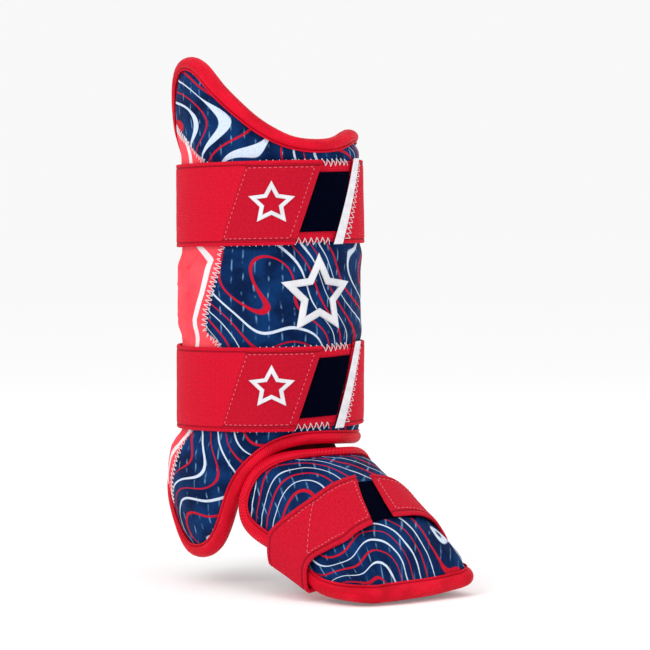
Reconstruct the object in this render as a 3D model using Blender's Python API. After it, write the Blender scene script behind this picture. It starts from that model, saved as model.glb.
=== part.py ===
"""A batter's leg guard for the right leg, as it stands when worn.

A padded shell of printed cloth wraps the shin, with a stretch panel behind it on the outer side and
rolled binding round both. Two elastic straps close it over loop pads. A padded foot guard hangs from
the instep and is held down by a strap that passes under the foot. Metres, +Z up, toes towards -Y,
outer side of the leg towards -X. The origin is on the leg's axis, half way between the two straps.
"""

import math
from collections import namedtuple

import bmesh
import bpy
from mathutils import Vector

MM = 0.001

# Shin shell
GUARD_HEIGHT = 328 * MM
SHELL_RADIUS = 58 * MM
SHELL_WALL = 8 * MM
PANEL_WALL = 2.6 * MM
PANEL_SET_BACK = 0.5 * MM
BINDING_WIDTH = 8.4 * MM
BINDING_PROUD = 1.0 * MM

# Foot guard
FOOT_REACH = 148 * MM
FOOT_HEIGHT = 88 * MM
FOOT_HALF_WIDTH = 50 * MM
FOOT_RIDGE = 3 * MM
FOOT_WALL = 7 * MM
FOOT_BINDING_WIDTH = 9.8 * MM

# Straps
STRAP_WIDTH = 51 * MM
STRAP_THICK = 2.2 * MM
UPPER_STRAP_HEIGHT = 236 * MM
LOWER_STRAP_HEIGHT = 123 * MM
TAB_ANGLE = -13.0
ANCHOR_ANGLE = 17.0
SLANT_ANGLE = 17.5
BASE_THICK = 1.2 * MM
LOOP_PAD_THICK = 1.4 * MM
LOOP_PAD_WIDTH = 37 * MM
LABEL_WIDTH = 7.5 * MM
LABEL_THICK = 0.8 * MM
FOOT_STRAP_THICK = 2.2 * MM

# Badges
SHIN_BADGE_SIZE = 52 * MM
SHIN_BADGE_ANGLE = -5.0
SHIN_BADGE_THICK = 1.6 * MM
SHIN_BADGE_LIFT = 0.5 * MM
STRAP_BADGE_SIZE = 28 * MM
STRAP_BADGE_ANGLE = -35.0
STRAP_BADGE_THICK = 0.7 * MM
STAR_NOTCH = 0.50
STAR_OPENING = 0.62

# Gusset
GUSSET_THICK = 1.6 * MM
GUSSET_HALF_ANGLE = 34.0
GUSSET_HOLD = 14 * MM

GAP = 0.3 * MM
BINDING_GAP = 0.5 * MM
SOLE_LEVEL = FOOT_STRAP_THICK + GAP
SEAT_HEIGHT = (UPPER_STRAP_HEIGHT + LOWER_STRAP_HEIGHT) / 2

CURVE_STEPS = 8
BINDING_SIDES = 8
SHIN_ROWS = 22

# Outer radius of the shell facing four ways, as shares of SHELL_RADIUS, at shares of GUARD_HEIGHT.
LegRow = namedtuple("LegRow", "height front medial back lateral")
LEG_ROWS = (
    LegRow(0.040, 0.862, 0.862, 0.905, 0.935),
    LegRow(0.131, 0.931, 0.897, 1.020, 1.045),
    LegRow(0.198, 0.970, 0.910, 1.080, 1.108),
    LegRow(0.250, 0.950, 0.880, 1.050, 1.075),
    LegRow(0.276, 0.966, 0.930, 1.015, 1.035),
    LegRow(0.305, 0.989, 0.975, 0.962, 0.980),
    LegRow(0.460, 0.991, 0.978, 0.962, 0.980),
    LegRow(0.490, 1.010, 0.985, 1.000, 1.023),
    LegRow(0.595, 1.010, 0.985, 1.000, 1.023),
    LegRow(0.628, 0.998, 0.978, 0.962, 0.980),
    LegRow(0.800, 0.990, 0.950, 0.962, 0.980),
    LegRow(0.850, 0.985, 0.915, 0.985, 1.015),
    LegRow(0.933, 0.995, 0.905, 1.012, 1.066),
    LegRow(1.010, 0.995, 0.905, 1.012, 1.066),
)

# The shell and panel's common outline: degrees round the leg from the front, positive towards the
# other leg, and shares of GUARD_HEIGHT. It runs from the panel's foot along the ankle.
EdgeRow = namedtuple("EdgeRow", "angle height corner")
GUARD_OUTLINE = (
    EdgeRow(-119, 0.131, "panel_low"),
    EdgeRow(-111, 0.090, ""),
    EdgeRow(-102, 0.070, ""),
    EdgeRow(-92, 0.068, ""),
    EdgeRow(-83, 0.074, ""),
    EdgeRow(-74, 0.097, ""),
    EdgeRow(-67, 0.136, ""),
    EdgeRow(-61, 0.183, ""),
    EdgeRow(-54, 0.223, ""),
    EdgeRow(-45, 0.252, ""),
    EdgeRow(-35, 0.273, ""),
    EdgeRow(-20, 0.287, ""),
    EdgeRow(2, 0.289, ""),
    EdgeRow(32, 0.284, ""),
    EdgeRow(65, 0.279, ""),
    EdgeRow(92, 0.286, ""),
    EdgeRow(105, 0.309, ""),
    EdgeRow(111, 0.355, "medial_low"),
    EdgeRow(112, 0.430, ""),
    EdgeRow(112, 0.549, ""),
    EdgeRow(112, 0.660, ""),
    EdgeRow(111, 0.742, "medial_high"),
    EdgeRow(105, 0.788, ""),
    EdgeRow(92, 0.818, ""),
    EdgeRow(65, 0.833, ""),
    EdgeRow(37, 0.837, ""),
    EdgeRow(15, 0.822, ""),
    EdgeRow(-3, 0.816, ""),
    EdgeRow(-20, 0.820, ""),
    EdgeRow(-33, 0.833, ""),
    EdgeRow(-45, 0.854, ""),
    EdgeRow(-57, 0.883, ""),
    EdgeRow(-68, 0.912, ""),
    EdgeRow(-77, 0.938, ""),
    EdgeRow(-84, 0.959, ""),
    EdgeRow(-91, 0.971, ""),
    EdgeRow(-100, 0.970, ""),
    EdgeRow(-108, 0.945, ""),
    EdgeRow(-113, 0.909, ""),
    EdgeRow(-118, 0.872, "panel_high"),
    EdgeRow(-127, 0.841, ""),
    EdgeRow(-138, 0.805, ""),
    EdgeRow(-147, 0.753, ""),
    EdgeRow(-150, 0.686, ""),
    EdgeRow(-150, 0.579, ""),
    EdgeRow(-150, 0.457, ""),
    EdgeRow(-150, 0.351, ""),
    EdgeRow(-148, 0.280, ""),
    EdgeRow(-141, 0.220, ""),
    EdgeRow(-130, 0.172, ""),
)

# The seam between shell and panel, from the panel's foot to its head.
SeamRow = namedtuple("SeamRow", "angle height")
PANEL_SEAM = (
    SeamRow(-119, 0.131),
    SeamRow(-112, 0.168),
    SeamRow(-107, 0.204),
    SeamRow(-102, 0.241),
    SeamRow(-97, 0.274),
    SeamRow(-90, 0.302),
    SeamRow(-80, 0.335),
    SeamRow(-71, 0.381),
    SeamRow(-68, 0.427),
    SeamRow(-71, 0.458),
    SeamRow(-78, 0.476),
    SeamRow(-79, 0.500),
    SeamRow(-75, 0.546),
    SeamRow(-70, 0.588),
    SeamRow(-67, 0.631),
    SeamRow(-67, 0.677),
    SeamRow(-72, 0.738),
    SeamRow(-80, 0.790),
    SeamRow(-91, 0.820),
    SeamRow(-105, 0.845),
    SeamRow(-118, 0.872),
)

# Cross sections of the foot guard: shares of FOOT_REACH from the leg's axis, of FOOT_HEIGHT and of
# FOOT_HALF_WIDTH, and the exponent of the section's curve (2 is an ellipse, more is fuller).
FootRow = namedtuple("FootRow", "along height lateral medial fullness")
FOOT_ROWS = (
    FootRow(0.200, 1.060, 1.10, 1.02, 3.3),
    FootRow(0.304, 0.990, 1.10, 1.02, 3.2),
    FootRow(0.392, 0.932, 1.07, 1.01, 3.0),
    FootRow(0.507, 0.860, 1.03, 1.00, 2.7),
    FootRow(0.608, 0.770, 1.01, 1.00, 2.5),
    FootRow(0.709, 0.655, 0.98, 1.00, 2.4),
    FootRow(0.811, 0.545, 0.95, 1.00, 2.3),
    FootRow(0.878, 0.455, 0.90, 1.00, 2.3),
    FootRow(0.919, 0.355, 0.85, 0.99, 2.3),
    FootRow(0.950, 0.255, 0.80, 0.98, 2.3),
    FootRow(0.980, 0.115, 0.74, 0.96, 2.3),
)

# The foot guard's outline: degrees round the section from its ridge, negative on the outer side, and
# shares of FOOT_REACH. It runs from the outer rear corner along the sole to the toe and back.
FootEdgeRow = namedtuple("FootEdgeRow", "turn along corner")
FOOT_OUTLINE = (
    FootEdgeRow(-66, 0.322, "rear_lateral"),
    FootEdgeRow(-71, 0.355, ""),
    FootEdgeRow(-72.5, 0.420, ""),
    FootEdgeRow(-73, 0.520, ""),
    FootEdgeRow(-76, 0.635, ""),
    FootEdgeRow(-79.5, 0.743, ""),
    FootEdgeRow(-79, 0.838, ""),
    FootEdgeRow(-75.5, 0.903, ""),
    FootEdgeRow(-67, 0.949, ""),
    FootEdgeRow(-50, 0.969, "toe_lateral"),
    FootEdgeRow(-30, 0.976, ""),
    FootEdgeRow(0, 0.978, ""),
    FootEdgeRow(30, 0.974, ""),
    FootEdgeRow(52, 0.962, "toe_medial"),
    FootEdgeRow(66, 0.937, ""),
    FootEdgeRow(74, 0.892, ""),
    FootEdgeRow(78, 0.824, ""),
    FootEdgeRow(79.5, 0.716, ""),
    FootEdgeRow(78, 0.622, ""),
    FootEdgeRow(75.5, 0.514, ""),
    FootEdgeRow(72, 0.405, ""),
    FootEdgeRow(69, 0.338, ""),
    FootEdgeRow(63, 0.307, "rear_medial"),
    FootEdgeRow(54, 0.322, ""),
    FootEdgeRow(40, 0.362, ""),
    FootEdgeRow(24, 0.408, ""),
    FootEdgeRow(8, 0.448, ""),
    FootEdgeRow(-8, 0.450, ""),
    FootEdgeRow(-22, 0.418, ""),
    FootEdgeRow(-37, 0.372, ""),
    FootEdgeRow(-52, 0.336, ""),
)

# The foot strap where it lies on the foot guard: its outer half from the tab down to the fold, and
# its inner half from the fold up to the tab. The columns give its rear and front edges.
BandRow = namedtuple("BandRow", "rear_turn rear_along front_turn front_along lift_mm")
OUTER_BAND = (
    BandRow(-3, 0.622, -20, 0.824, 2.2),
    BandRow(-12, 0.614, -26, 0.828, 2.2),
    BandRow(-24, 0.606, -35, 0.831, 2.0),
    BandRow(-37, 0.590, -46, 0.828, 0.9),
    BandRow(-53, 0.548, -60, 0.780, 0.8),
    BandRow(-66, 0.495, -71, 0.726, 1.6),
    BandRow(-73, 0.468, -79, 0.706, 2.6),
)
INNER_BAND = (
    BandRow(80, 0.561, 82, 0.770, 2.4),
    BandRow(65, 0.588, 65, 0.780, 1.6),
    BandRow(50, 0.608, 50, 0.791, 0.9),
    BandRow(35, 0.622, 35, 0.799, 1.6),
    BandRow(18, 0.630, 18, 0.804, 2.2),
    BandRow(3, 0.634, -2, 0.811, 2.2),
)

# Where the foot strap folds under the foot guard's binding, as shares of FOOT_REACH and FOOT_HEIGHT.
FoldRow = namedtuple("FoldRow", "side rear_along rear_height front_along front_height lift_mm")
OUTER_FOLD = FoldRow(-1, 0.480, 0.225, 0.720, 0.040, 1.8)
INNER_FOLD = FoldRow(1, 0.547, 0.110, 0.760, 0.030, 2.8)

# How far the straps stand off the shell, from the tab's end round the back to the anchor, in mm.
LiftRow = namedtuple("LiftRow", "angle lift_mm")
STRAP_LIFTS = (
    LiftRow(30, 3.5),
    LiftRow(-27, 3.5),
    LiftRow(-64, 0.7),
    LiftRow(-132, 0.7),
    LiftRow(-150, 2.0),
    LiftRow(-180, 2.4),
    LiftRow(-248, 2.4),
    LiftRow(-268, 1.0),
    LiftRow(-290, 0.7),
    LiftRow(-400, 0.7),
)

Paint = namedtuple("Paint", "name colour roughness")
NAVY_CLOTH = Paint("navy_cloth", (0.006, 0.035, 0.16), 0.75)
CORAL_CLOTH = Paint("coral_cloth", (0.95, 0.09, 0.11), 0.75)
RED_BINDING = Paint("red_binding", (0.68, 0.012, 0.03), 0.6)
RED_ELASTIC = Paint("red_elastic", (0.66, 0.01, 0.03), 0.75)
LOOP_PILE = Paint("loop_pile", (0.001, 0.002, 0.012), 0.95)
WHITE_TAPE = Paint("white_tape", (0.85, 0.85, 0.88), 0.6)
WHITE_RUBBER = Paint("white_rubber", (0.85, 0.86, 0.9), 0.45)
DARK_CLOTH = Paint("dark_cloth", (0.12, 0.004, 0.012), 0.9)


def clear_scene():
    for obj in list(bpy.data.objects):
        bpy.data.objects.remove(obj, do_unlink=True)


def material_of(paint):
    known = bpy.data.materials.get(paint.name)
    if known:
        return known
    material = bpy.data.materials.new(paint.name)
    material.use_nodes = True
    shader = material.node_tree.nodes["Principled BSDF"]
    shader.inputs["Base Color"].default_value = (*paint.colour, 1)
    shader.inputs["Roughness"].default_value = paint.roughness
    material.diffuse_color = (*paint.colour, 1)
    return material


def mix(low, high, share):
    return low + (high - low) * share


def row_at(rows, key, value):
    """The columns of a table between its rows, by a cubic through them that has no overshoot."""
    keys = [getattr(row, key) for row in rows]
    rising = keys[-1] > keys[0]
    ordered = rows if rising else rows[::-1]
    marks = keys if rising else keys[::-1]
    value = min(max(value, marks[0]), marks[-1])
    index = 0
    while index < len(marks) - 2 and value > marks[index + 1]:
        index += 1
    span = marks[index + 1] - marks[index]
    share = (value - marks[index]) / span
    result = []
    for column in range(len(ordered[0])):
        column_values = [row[column] for row in ordered]
        result.append(hermite(marks, column_values, index, share, span))
    return type(rows[0])(*result)


def hermite(marks, values, index, share, span):
    start = slope_at(marks, values, index) * span
    end = slope_at(marks, values, index + 1) * span
    squared = share * share
    cubed = squared * share
    return (
        values[index] * (2 * cubed - 3 * squared + 1)
        + start * (cubed - 2 * squared + share)
        + values[index + 1] * (3 * squared - 2 * cubed)
        + end * (cubed - squared)
    )


def slope_at(marks, values, index):
    """A slope that is level where the values turn, so that the cubic never overshoots them."""
    if index in (0, len(marks) - 1):
        return 0.0
    before = (values[index] - values[index - 1]) / (marks[index] - marks[index - 1])
    after = (values[index + 1] - values[index]) / (marks[index + 1] - marks[index])
    if before * after <= 0:
        return 0.0
    return 2 * before * after / (before + after)


def leg_radius(angle, height):
    row = row_at(LEG_ROWS, "height", height / GUARD_HEIGHT)
    around = math.radians(angle)
    mean = (row.front + row.medial + row.back + row.lateral) / 4
    fore = (row.front - row.back) / 2 * math.cos(around)
    side = (row.medial - row.lateral) / 2 * math.sin(around)
    oval = (row.front + row.back - row.medial - row.lateral) / 4 * math.cos(2 * around)
    return SHELL_RADIUS * (mean + fore + side + oval)


def leg_point(angle, height, proud):
    radius = leg_radius(angle, height) + proud
    around = math.radians(angle)
    return Vector((radius * math.sin(around), -radius * math.cos(around), height))


def foot_surface(turn, along):
    """A point of the foot guard's outer face: superellipse sections across the foot."""
    row = row_at(FOOT_ROWS, "along", along / FOOT_REACH)
    around = math.radians(turn)
    half = (row.lateral if turn < 0 else row.medial) * FOOT_HALF_WIDTH
    power = 2 / row.fullness
    across = math.copysign(abs(math.sin(around)) ** power, around)
    up = abs(math.cos(around)) ** power
    height = SOLE_LEVEL + (row.height * FOOT_HEIGHT - SOLE_LEVEL) * up
    return Vector((FOOT_RIDGE + half * across, -along, height))


def foot_normal(turn, along):
    small_turn = 1.0
    small_along = 1 * MM
    before = foot_surface(max(turn - small_turn, -90), along)
    after = foot_surface(min(turn + small_turn, 90), along)
    rear = foot_surface(turn, along - small_along)
    front = foot_surface(turn, along + small_along)
    return (front - rear).cross(after - before).normalized()


def foot_point(turn, along, proud):
    return foot_surface(turn, along) + foot_normal(turn, along) * proud


def catmull(before, start, end, after, share):
    squared = share * share
    cubed = squared * share
    return 0.5 * (
        2 * start
        + (end - before) * share
        + (2 * before - 5 * start + 4 * end - after) * squared
        + (3 * start - before - 3 * end + after) * cubed
    )


def smooth_run(points, closed):
    """The points of a smooth curve through the given ones, CURVE_STEPS to each stretch."""
    count = len(points)
    stretches = count if closed else count - 1
    found = []
    for index in range(stretches):
        around = []
        for offset in (-1, 0, 1, 2):
            place = index + offset
            place = place % count if closed else min(max(place, 0), count - 1)
            around.append(points[place])
        for step in range(CURVE_STEPS):
            found.append(catmull(*around, step / CURVE_STEPS))
    if not closed:
        found.append(points[-1])
    return found


class Run:
    """A curve on a flattened surface, read by the share of its length."""

    def __init__(self, points):
        self.points = points
        self.reached = [0.0]
        for start, end in zip(points, points[1:]):
            self.reached.append(self.reached[-1] + (end - start).length)

    def at(self, share):
        wanted = share * self.reached[-1]
        index = 0
        while index < len(self.reached) - 2 and self.reached[index + 1] < wanted:
            index += 1
        length = self.reached[index + 1] - self.reached[index]
        part = (wanted - self.reached[index]) / length
        return self.points[index].lerp(self.points[index + 1], part)

    def reversed(self):
        return Run(self.points[::-1])

    def beside(self, share, distance):
        """A point to the left of the curve, at a distance."""
        near = 0.01
        ahead = self.at(min(share + near, 1)) - self.at(max(share - near, 0))
        ahead.normalize()
        return self.at(share) + Vector((-ahead.y, ahead.x, 0)) * distance


def flat_leg(row):
    """A row's place on the leg unrolled: arc length and height."""
    return Vector((math.radians(row.angle) * SHELL_RADIUS, row.height * GUARD_HEIGHT, 0))


def on_leg(flat, proud):
    return leg_point(math.degrees(flat.x / SHELL_RADIUS), flat.y, proud)


def flat_foot(row):
    return Vector((math.radians(row.turn) * FOOT_HALF_WIDTH, row.along * FOOT_REACH, 0))


def on_foot(flat, proud):
    return foot_point(math.degrees(flat.x / FOOT_HALF_WIDTH), flat.y, proud)


def sides_of(outline, flatten):
    """The stretches of a closed outline between its named corners, by the corner they start at."""
    loop = smooth_run([flatten(row) for row in outline], closed=True)
    corners = [(row.corner, index) for index, row in enumerate(outline) if row.corner]
    sides = {}
    for place, (name, start) in enumerate(corners):
        end = corners[(place + 1) % len(corners)][1]
        if end <= start:
            end += len(outline)
        steps = range(start * CURVE_STEPS, end * CURVE_STEPS + 1)
        sides[name] = Run([loop[step % len(loop)] for step in steps])
    return sides


def patch_between(left, right, bottom, top, columns, rows):
    """A grid that fills the space inside four curves; left and right run up, the others run across."""
    grid = []
    for row in range(rows):
        up = row / (rows - 1)
        line = []
        for column in range(columns):
            over = column / (columns - 1)
            ruled = left.at(up).lerp(right.at(up), over) + bottom.at(over).lerp(top.at(over), up)
            low = bottom.at(0).lerp(bottom.at(1), over)
            high = top.at(0).lerp(top.at(1), over)
            line.append(ruled - low.lerp(high, up))
        grid.append(line)
    return grid


def add_object(name, points, faces, paint, smooth=True):
    mesh = bpy.data.meshes.new(name)
    mesh.from_pydata(points, [], faces)
    solid = bmesh.new()
    solid.from_mesh(mesh)
    bmesh.ops.recalc_face_normals(solid, faces=solid.faces)
    solid.to_mesh(mesh)
    solid.free()
    mesh.materials.append(material_of(paint))
    obj = bpy.data.objects.new(name, mesh)
    bpy.context.scene.collection.objects.link(obj)
    if smooth:
        mesh.shade_smooth()
        mesh.set_sharp_from_angle(angle=math.radians(40))
    return obj


def thick_sheet(name, outer, inner, paint, ring=False):
    """A closed solid between two like grids of points; a ring joins its last row to its first."""
    rows, columns = len(outer), len(outer[0])
    points = [point for grid in (outer, inner) for line in grid for point in line]
    under = rows * columns
    faces = []
    last_row = rows if ring else rows - 1
    for row in range(last_row):
        here, above = row * columns, (row + 1) % rows * columns
        for column in range(columns - 1):
            corners = (here + column, here + column + 1, above + column + 1, above + column)
            faces.append(corners)
            faces.append(tuple(under + corner for corner in reversed(corners)))
        faces.append((here, above, under + above, under + here))
        right = columns - 1
        faces.append((above + right, here + right, under + here + right, under + above + right))
    if not ring:
        top = (rows - 1) * columns
        for column in range(columns - 1):
            faces.append((column + 1, column, under + column, under + column + 1))
            low, high = top + column, top + column + 1
            faces.append((low, high, under + high, under + low))
    return add_object(name, points, faces, paint)


def binding_round(name, loop, surface, wall, width, count, paint):
    """A rolled binding along a closed outline: an oval bead just beyond the edge of what it binds."""
    depth = wall + 2 * BINDING_PROUD
    mid = -wall / 2
    edge = [surface(loop.at(index / count), mid) for index in range(count)]
    outside = [surface(loop.at(index / count), 0) for index in range(count)]
    points = []
    for index in range(count):
        ahead = (edge[(index + 1) % count] - edge[index - 1]).normalized()
        out = (outside[index] - edge[index]).normalized()
        beyond = ahead.cross(out).normalized()
        centre = edge[index] + beyond * (width / 2 + BINDING_GAP)
        for side in range(BINDING_SIDES):
            around = 2 * math.pi * (side + 0.5) / BINDING_SIDES
            across = beyond * math.cos(around) * width / 2
            points.append(centre + across + out * math.sin(around) * depth / 2)
    faces = []
    for index in range(count):
        here, ahead_of = index * BINDING_SIDES, (index + 1) % count * BINDING_SIDES
        for side in range(BINDING_SIDES):
            following = (side + 1) % BINDING_SIDES
            faces.append((here + side, ahead_of + side, ahead_of + following, here + following))
    return add_object(name, points, faces, paint)


def lay_on(grid, surface, outer, inner):
    """A flattened grid's points on a surface, at two distances off it."""
    return (
        [[surface(flat, outer) for flat in line] for line in grid],
        [[surface(flat, inner) for flat in line] for line in grid],
    )


def make_shin():
    sides = sides_of(GUARD_OUTLINE, flat_leg)
    seam = Run(smooth_run([flat_leg(row) for row in PANEL_SEAM], closed=False))
    shell_grid = patch_between(
        seam,
        sides["medial_low"],
        sides["panel_low"],
        sides["medial_high"].reversed(),
        columns=28,
        rows=SHIN_ROWS,
    )
    shell = thick_sheet("shin_shell", *lay_on(shell_grid, on_leg, 0, -SHELL_WALL), NAVY_CLOTH)
    rear = sides["panel_high"].reversed()
    tip = 0.012
    panel_grid = []
    for row in range(SHIN_ROWS):
        up = min(max(row / (SHIN_ROWS - 1), tip), 1 - tip)
        edge = seam.beside(up, GAP)
        panel_grid.append([rear.at(up).lerp(edge, column / 6) for column in range(7)])
    face = -PANEL_SET_BACK
    laid = lay_on(panel_grid, on_leg, face, face - PANEL_WALL)
    panel = thick_sheet("side_panel", *laid, CORAL_CLOTH)
    loop = []
    for name in ("panel_low", "medial_low", "medial_high", "panel_high"):
        loop += sides[name].points[:-1]
    loop.append(loop[0])
    binding = binding_round(
        "shin_binding", Run(loop), on_leg, SHELL_WALL, BINDING_WIDTH, 116, RED_BINDING
    )
    return [shell, panel, binding]


def make_foot_guard():
    sides = sides_of(FOOT_OUTLINE, flat_foot)
    grid = patch_between(
        sides["rear_lateral"],
        sides["toe_medial"].reversed(),
        sides["rear_medial"].reversed(),
        sides["toe_lateral"],
        columns=17,
        rows=20,
    )
    laid = lay_on(grid, on_foot, 0, -FOOT_WALL)
    guard = thick_sheet("foot_guard", *laid, NAVY_CLOTH)
    loop = []
    for name in ("rear_lateral", "toe_lateral", "toe_medial", "rear_medial"):
        loop += sides[name].points[:-1]
    loop.append(loop[0])
    binding = binding_round(
        "foot_binding", Run(loop), on_foot, FOOT_WALL, FOOT_BINDING_WIDTH, 84, RED_BINDING
    )
    return [guard, binding]


def slanted(angle, height, middle):
    """An angle moved with height, as the straps' cut ends slant."""
    return angle + SLANT_ANGLE * (height - middle) / STRAP_WIDTH


def strip_round(name, middle, width, start, end, lift_of, thick, paint, columns):
    """A strip round the leg from one angle to another, cut on a slant at both ends."""
    rows = 3
    outer, inner = [], []
    for row in range(rows):
        height = middle + width * (row / (rows - 1) - 0.5)
        outer_line, inner_line = [], []
        for column in range(columns):
            level = mix(start, end, column / (columns - 1))
            angle = slanted(level, height, middle)
            lift = lift_of(level)
            outer_line.append(leg_point(angle, height, lift + thick))
            inner_line.append(leg_point(angle, height, lift))
        outer.append(outer_line)
        inner.append(inner_line)
    return thick_sheet(name, outer, inner, paint)


def strap_lift(angle):
    return row_at(STRAP_LIFTS, "angle", angle).lift_mm * MM


def make_strap(prefix, middle):
    """One closing strap with the pieces that it fastens on."""
    around = 360 - (ANCHOR_ANGLE - TAB_ANGLE)
    far_end = TAB_ANGLE - around
    base_lift = GAP
    pad_lift = base_lift + BASE_THICK + GAP
    label_lift = strap_lift(far_end) + STRAP_THICK + GAP
    label_half = math.degrees(LABEL_WIDTH / 2 / SHELL_RADIUS)
    end_gap = math.degrees(GAP / SHELL_RADIUS)
    base_end = ANCHOR_ANGLE - 2 * end_gap
    pad_end = ANCHOR_ANGLE - label_half - end_gap
    return [
        strip_round(
            f"{prefix}_strap", middle, STRAP_WIDTH, far_end, TAB_ANGLE,
            strap_lift, STRAP_THICK, RED_ELASTIC, 62,
        ),
        strip_round(
            f"{prefix}_strap_base", middle, STRAP_WIDTH, TAB_ANGLE - 12, base_end,
            lambda angle: base_lift, BASE_THICK, RED_ELASTIC, 10,
        ),
        strip_round(
            f"{prefix}_loop_pad", middle, LOOP_PAD_WIDTH, TAB_ANGLE - 9, pad_end,
            lambda angle: pad_lift, LOOP_PAD_THICK, LOOP_PILE, 9,
        ),
        strip_round(
            f"{prefix}_label", middle, STRAP_WIDTH + 1 * MM, ANCHOR_ANGLE - label_half,
            ANCHOR_ANGLE + label_half, lambda angle: label_lift, LABEL_THICK, WHITE_TAPE, 3,
        ),
        star_badge(
            f"{prefix}_strap_badge", STRAP_BADGE_ANGLE, middle, STRAP_BADGE_SIZE,
            strap_lift, STRAP_THICK + GAP, STRAP_BADGE_THICK,
        ),
    ]


def star_badge(name, angle, middle, size, lift_of, off, thick):
    """A plain five-pointed star in outline, bent round the leg."""
    steps = 2
    corners = []
    for index in range(10):
        reach = size / 2 * (1 if index % 2 == 0 else STAR_NOTCH)
        around = math.pi * index / 5
        corners.append(Vector((reach * math.sin(around), reach * math.cos(around), 0)))
    outline = []
    for index, corner in enumerate(corners):
        following = corners[(index + 1) % 10]
        outline += [corner.lerp(following, step / steps) for step in range(steps)]
    outer, inner = [], []
    for point in outline:
        outer_line, inner_line = [], []
        for share in (1.0, STAR_OPENING):
            place = angle + math.degrees(point.x * share / SHELL_RADIUS)
            height = middle + point.y * share
            lift = lift_of(2 * place - slanted(place, height, middle)) + off
            outer_line.append(leg_point(place, height, lift + thick))
            inner_line.append(leg_point(place, height, lift))
        outer.append(outer_line)
        inner.append(inner_line)
    return thick_sheet(name, outer, inner, WHITE_RUBBER, ring=True)


def turn_at_height(side, along, height):
    """How far round the foot's section a height lies."""
    row = row_at(FOOT_ROWS, "along", along / FOOT_REACH)
    up = (height - SOLE_LEVEL) / (row.height * FOOT_HEIGHT - SOLE_LEVEL)
    return side * math.degrees(math.acos(max(up, 0) ** (row.fullness / 2)))


def fold_line(fold, shares):
    """The inner face of the foot strap along one of its folds, from its rear edge to its front."""
    line = []
    for share in shares:
        along = mix(fold.rear_along, fold.front_along, share) * FOOT_REACH
        height = mix(fold.rear_height, fold.front_height, share) * FOOT_HEIGHT
        turn = turn_at_height(fold.side, along, max(height, SOLE_LEVEL))
        point = foot_point(turn, along, fold.lift_mm * MM)
        line.append(Vector((point.x, point.y, max(height, SOLE_LEVEL))))
    return line


def band_lines(rows, shares, steps):
    """Lines across the foot strap's inner and outer faces where it lies on the foot guard."""
    stations = [rows[0]]
    for start, end in zip(rows, rows[1:]):
        for step in range(steps):
            stations.append(BandRow(*(mix(a, b, (step + 1) / steps) for a, b in zip(start, end))))
    inner, outer = [], []
    for station in stations:
        places = []
        for share in shares:
            turn = mix(station.rear_turn, station.front_turn, share)
            places.append((turn, mix(station.rear_along, station.front_along, share) * FOOT_REACH))
        lift = station.lift_mm * MM
        inner.append([foot_point(*place, lift) for place in places])
        outer.append([foot_point(*place, lift + FOOT_STRAP_THICK) for place in places])
    return inner, outer


def make_foot_strap():
    shares = [index / 4 for index in range(5)]
    inner, outer = band_lines(OUTER_BAND, shares, 3)
    first_fold, last_fold = fold_line(OUTER_FOLD, shares), fold_line(INNER_FOLD, shares)
    drop = Vector((0, 0, -FOOT_STRAP_THICK))
    inner.append(first_fold)
    outer.append([point + drop + Vector((-FOOT_STRAP_THICK, 0, 0)) for point in first_fold])
    for under in (0.06, 0.25, 0.5, 0.75, 0.94):
        line = [start.lerp(end, under) for start, end in zip(first_fold, last_fold)]
        inner.append(line)
        outer.append([point + drop for point in line])
    inner.append(last_fold)
    outer.append([point + drop + Vector((FOOT_STRAP_THICK, 0, 0)) for point in last_fold])
    inner_half, outer_half = band_lines(INNER_BAND, shares, 3)
    return thick_sheet("foot_strap", outer + outer_half, inner + inner_half, RED_ELASTIC)


def make_foot_loop_pad():
    columns, rows = 8, 4
    outer, inner = [], []
    left, right = OUTER_BAND[1], INNER_BAND[-2]
    for row in range(rows):
        share = mix(0.08, 0.92, row / (rows - 1))
        along = mix(left.rear_along, left.front_along, share)
        outer_line, inner_line = [], []
        for column in range(columns):
            first, last = mix(left.rear_turn, left.front_turn, share), right.rear_turn
            turn = mix(first, last, column / (columns - 1))
            outer_line.append(foot_point(turn, along * FOOT_REACH, GAP + LOOP_PAD_THICK))
            inner_line.append(foot_point(turn, along * FOOT_REACH, GAP))
        outer.append(outer_line)
        inner.append(inner_line)
    return thick_sheet("foot_loop_pad", inner, outer, LOOP_PILE)


def make_gusset():
    """The dark cloth inside the instep, from the shell's lower edge to the foot guard's rear edge."""
    shell_sides = sides_of(GUARD_OUTLINE, flat_leg)
    ankle = shell_sides["panel_low"]
    foot_sides = sides_of(FOOT_OUTLINE, flat_foot)
    rear = foot_sides["rear_medial"].reversed()
    columns = 11
    outer, inner = [], []
    for column in range(columns):
        share = column / (columns - 1)
        angle = mix(-GUSSET_HALF_ANGLE, GUSSET_HALF_ANGLE, share)
        shell_edge = height_along(ankle, angle)
        turn = angle * 0.8
        foot_edge = along_at(rear, turn)
        lines = []
        for deep in (GUSSET_THICK, 0):
            line = []
            for above in (GUSSET_HOLD, GUSSET_HOLD / 2, -GUSSET_HOLD * 0.6):
                off = -SHELL_WALL - BINDING_PROUD - 2 * GAP - deep
                line.append(leg_point(angle, shell_edge + above, off))
            for beyond in (-GUSSET_HOLD * 0.7, 0, GUSSET_HOLD):
                off = -FOOT_WALL - BINDING_PROUD - 2 * GAP - deep
                line.append(foot_point(turn, foot_edge + beyond, off))
            lines.append(line)
        inner.append(lines[0])
        outer.append(lines[1])
    return thick_sheet("instep_gusset", outer, inner, DARK_CLOTH)


def height_along(run, angle):
    """The height of a curve on the unrolled leg at an angle."""
    wanted = math.radians(angle) * SHELL_RADIUS
    nearest = min(run.points, key=lambda point: abs(point.x - wanted))
    return nearest.y


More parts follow.
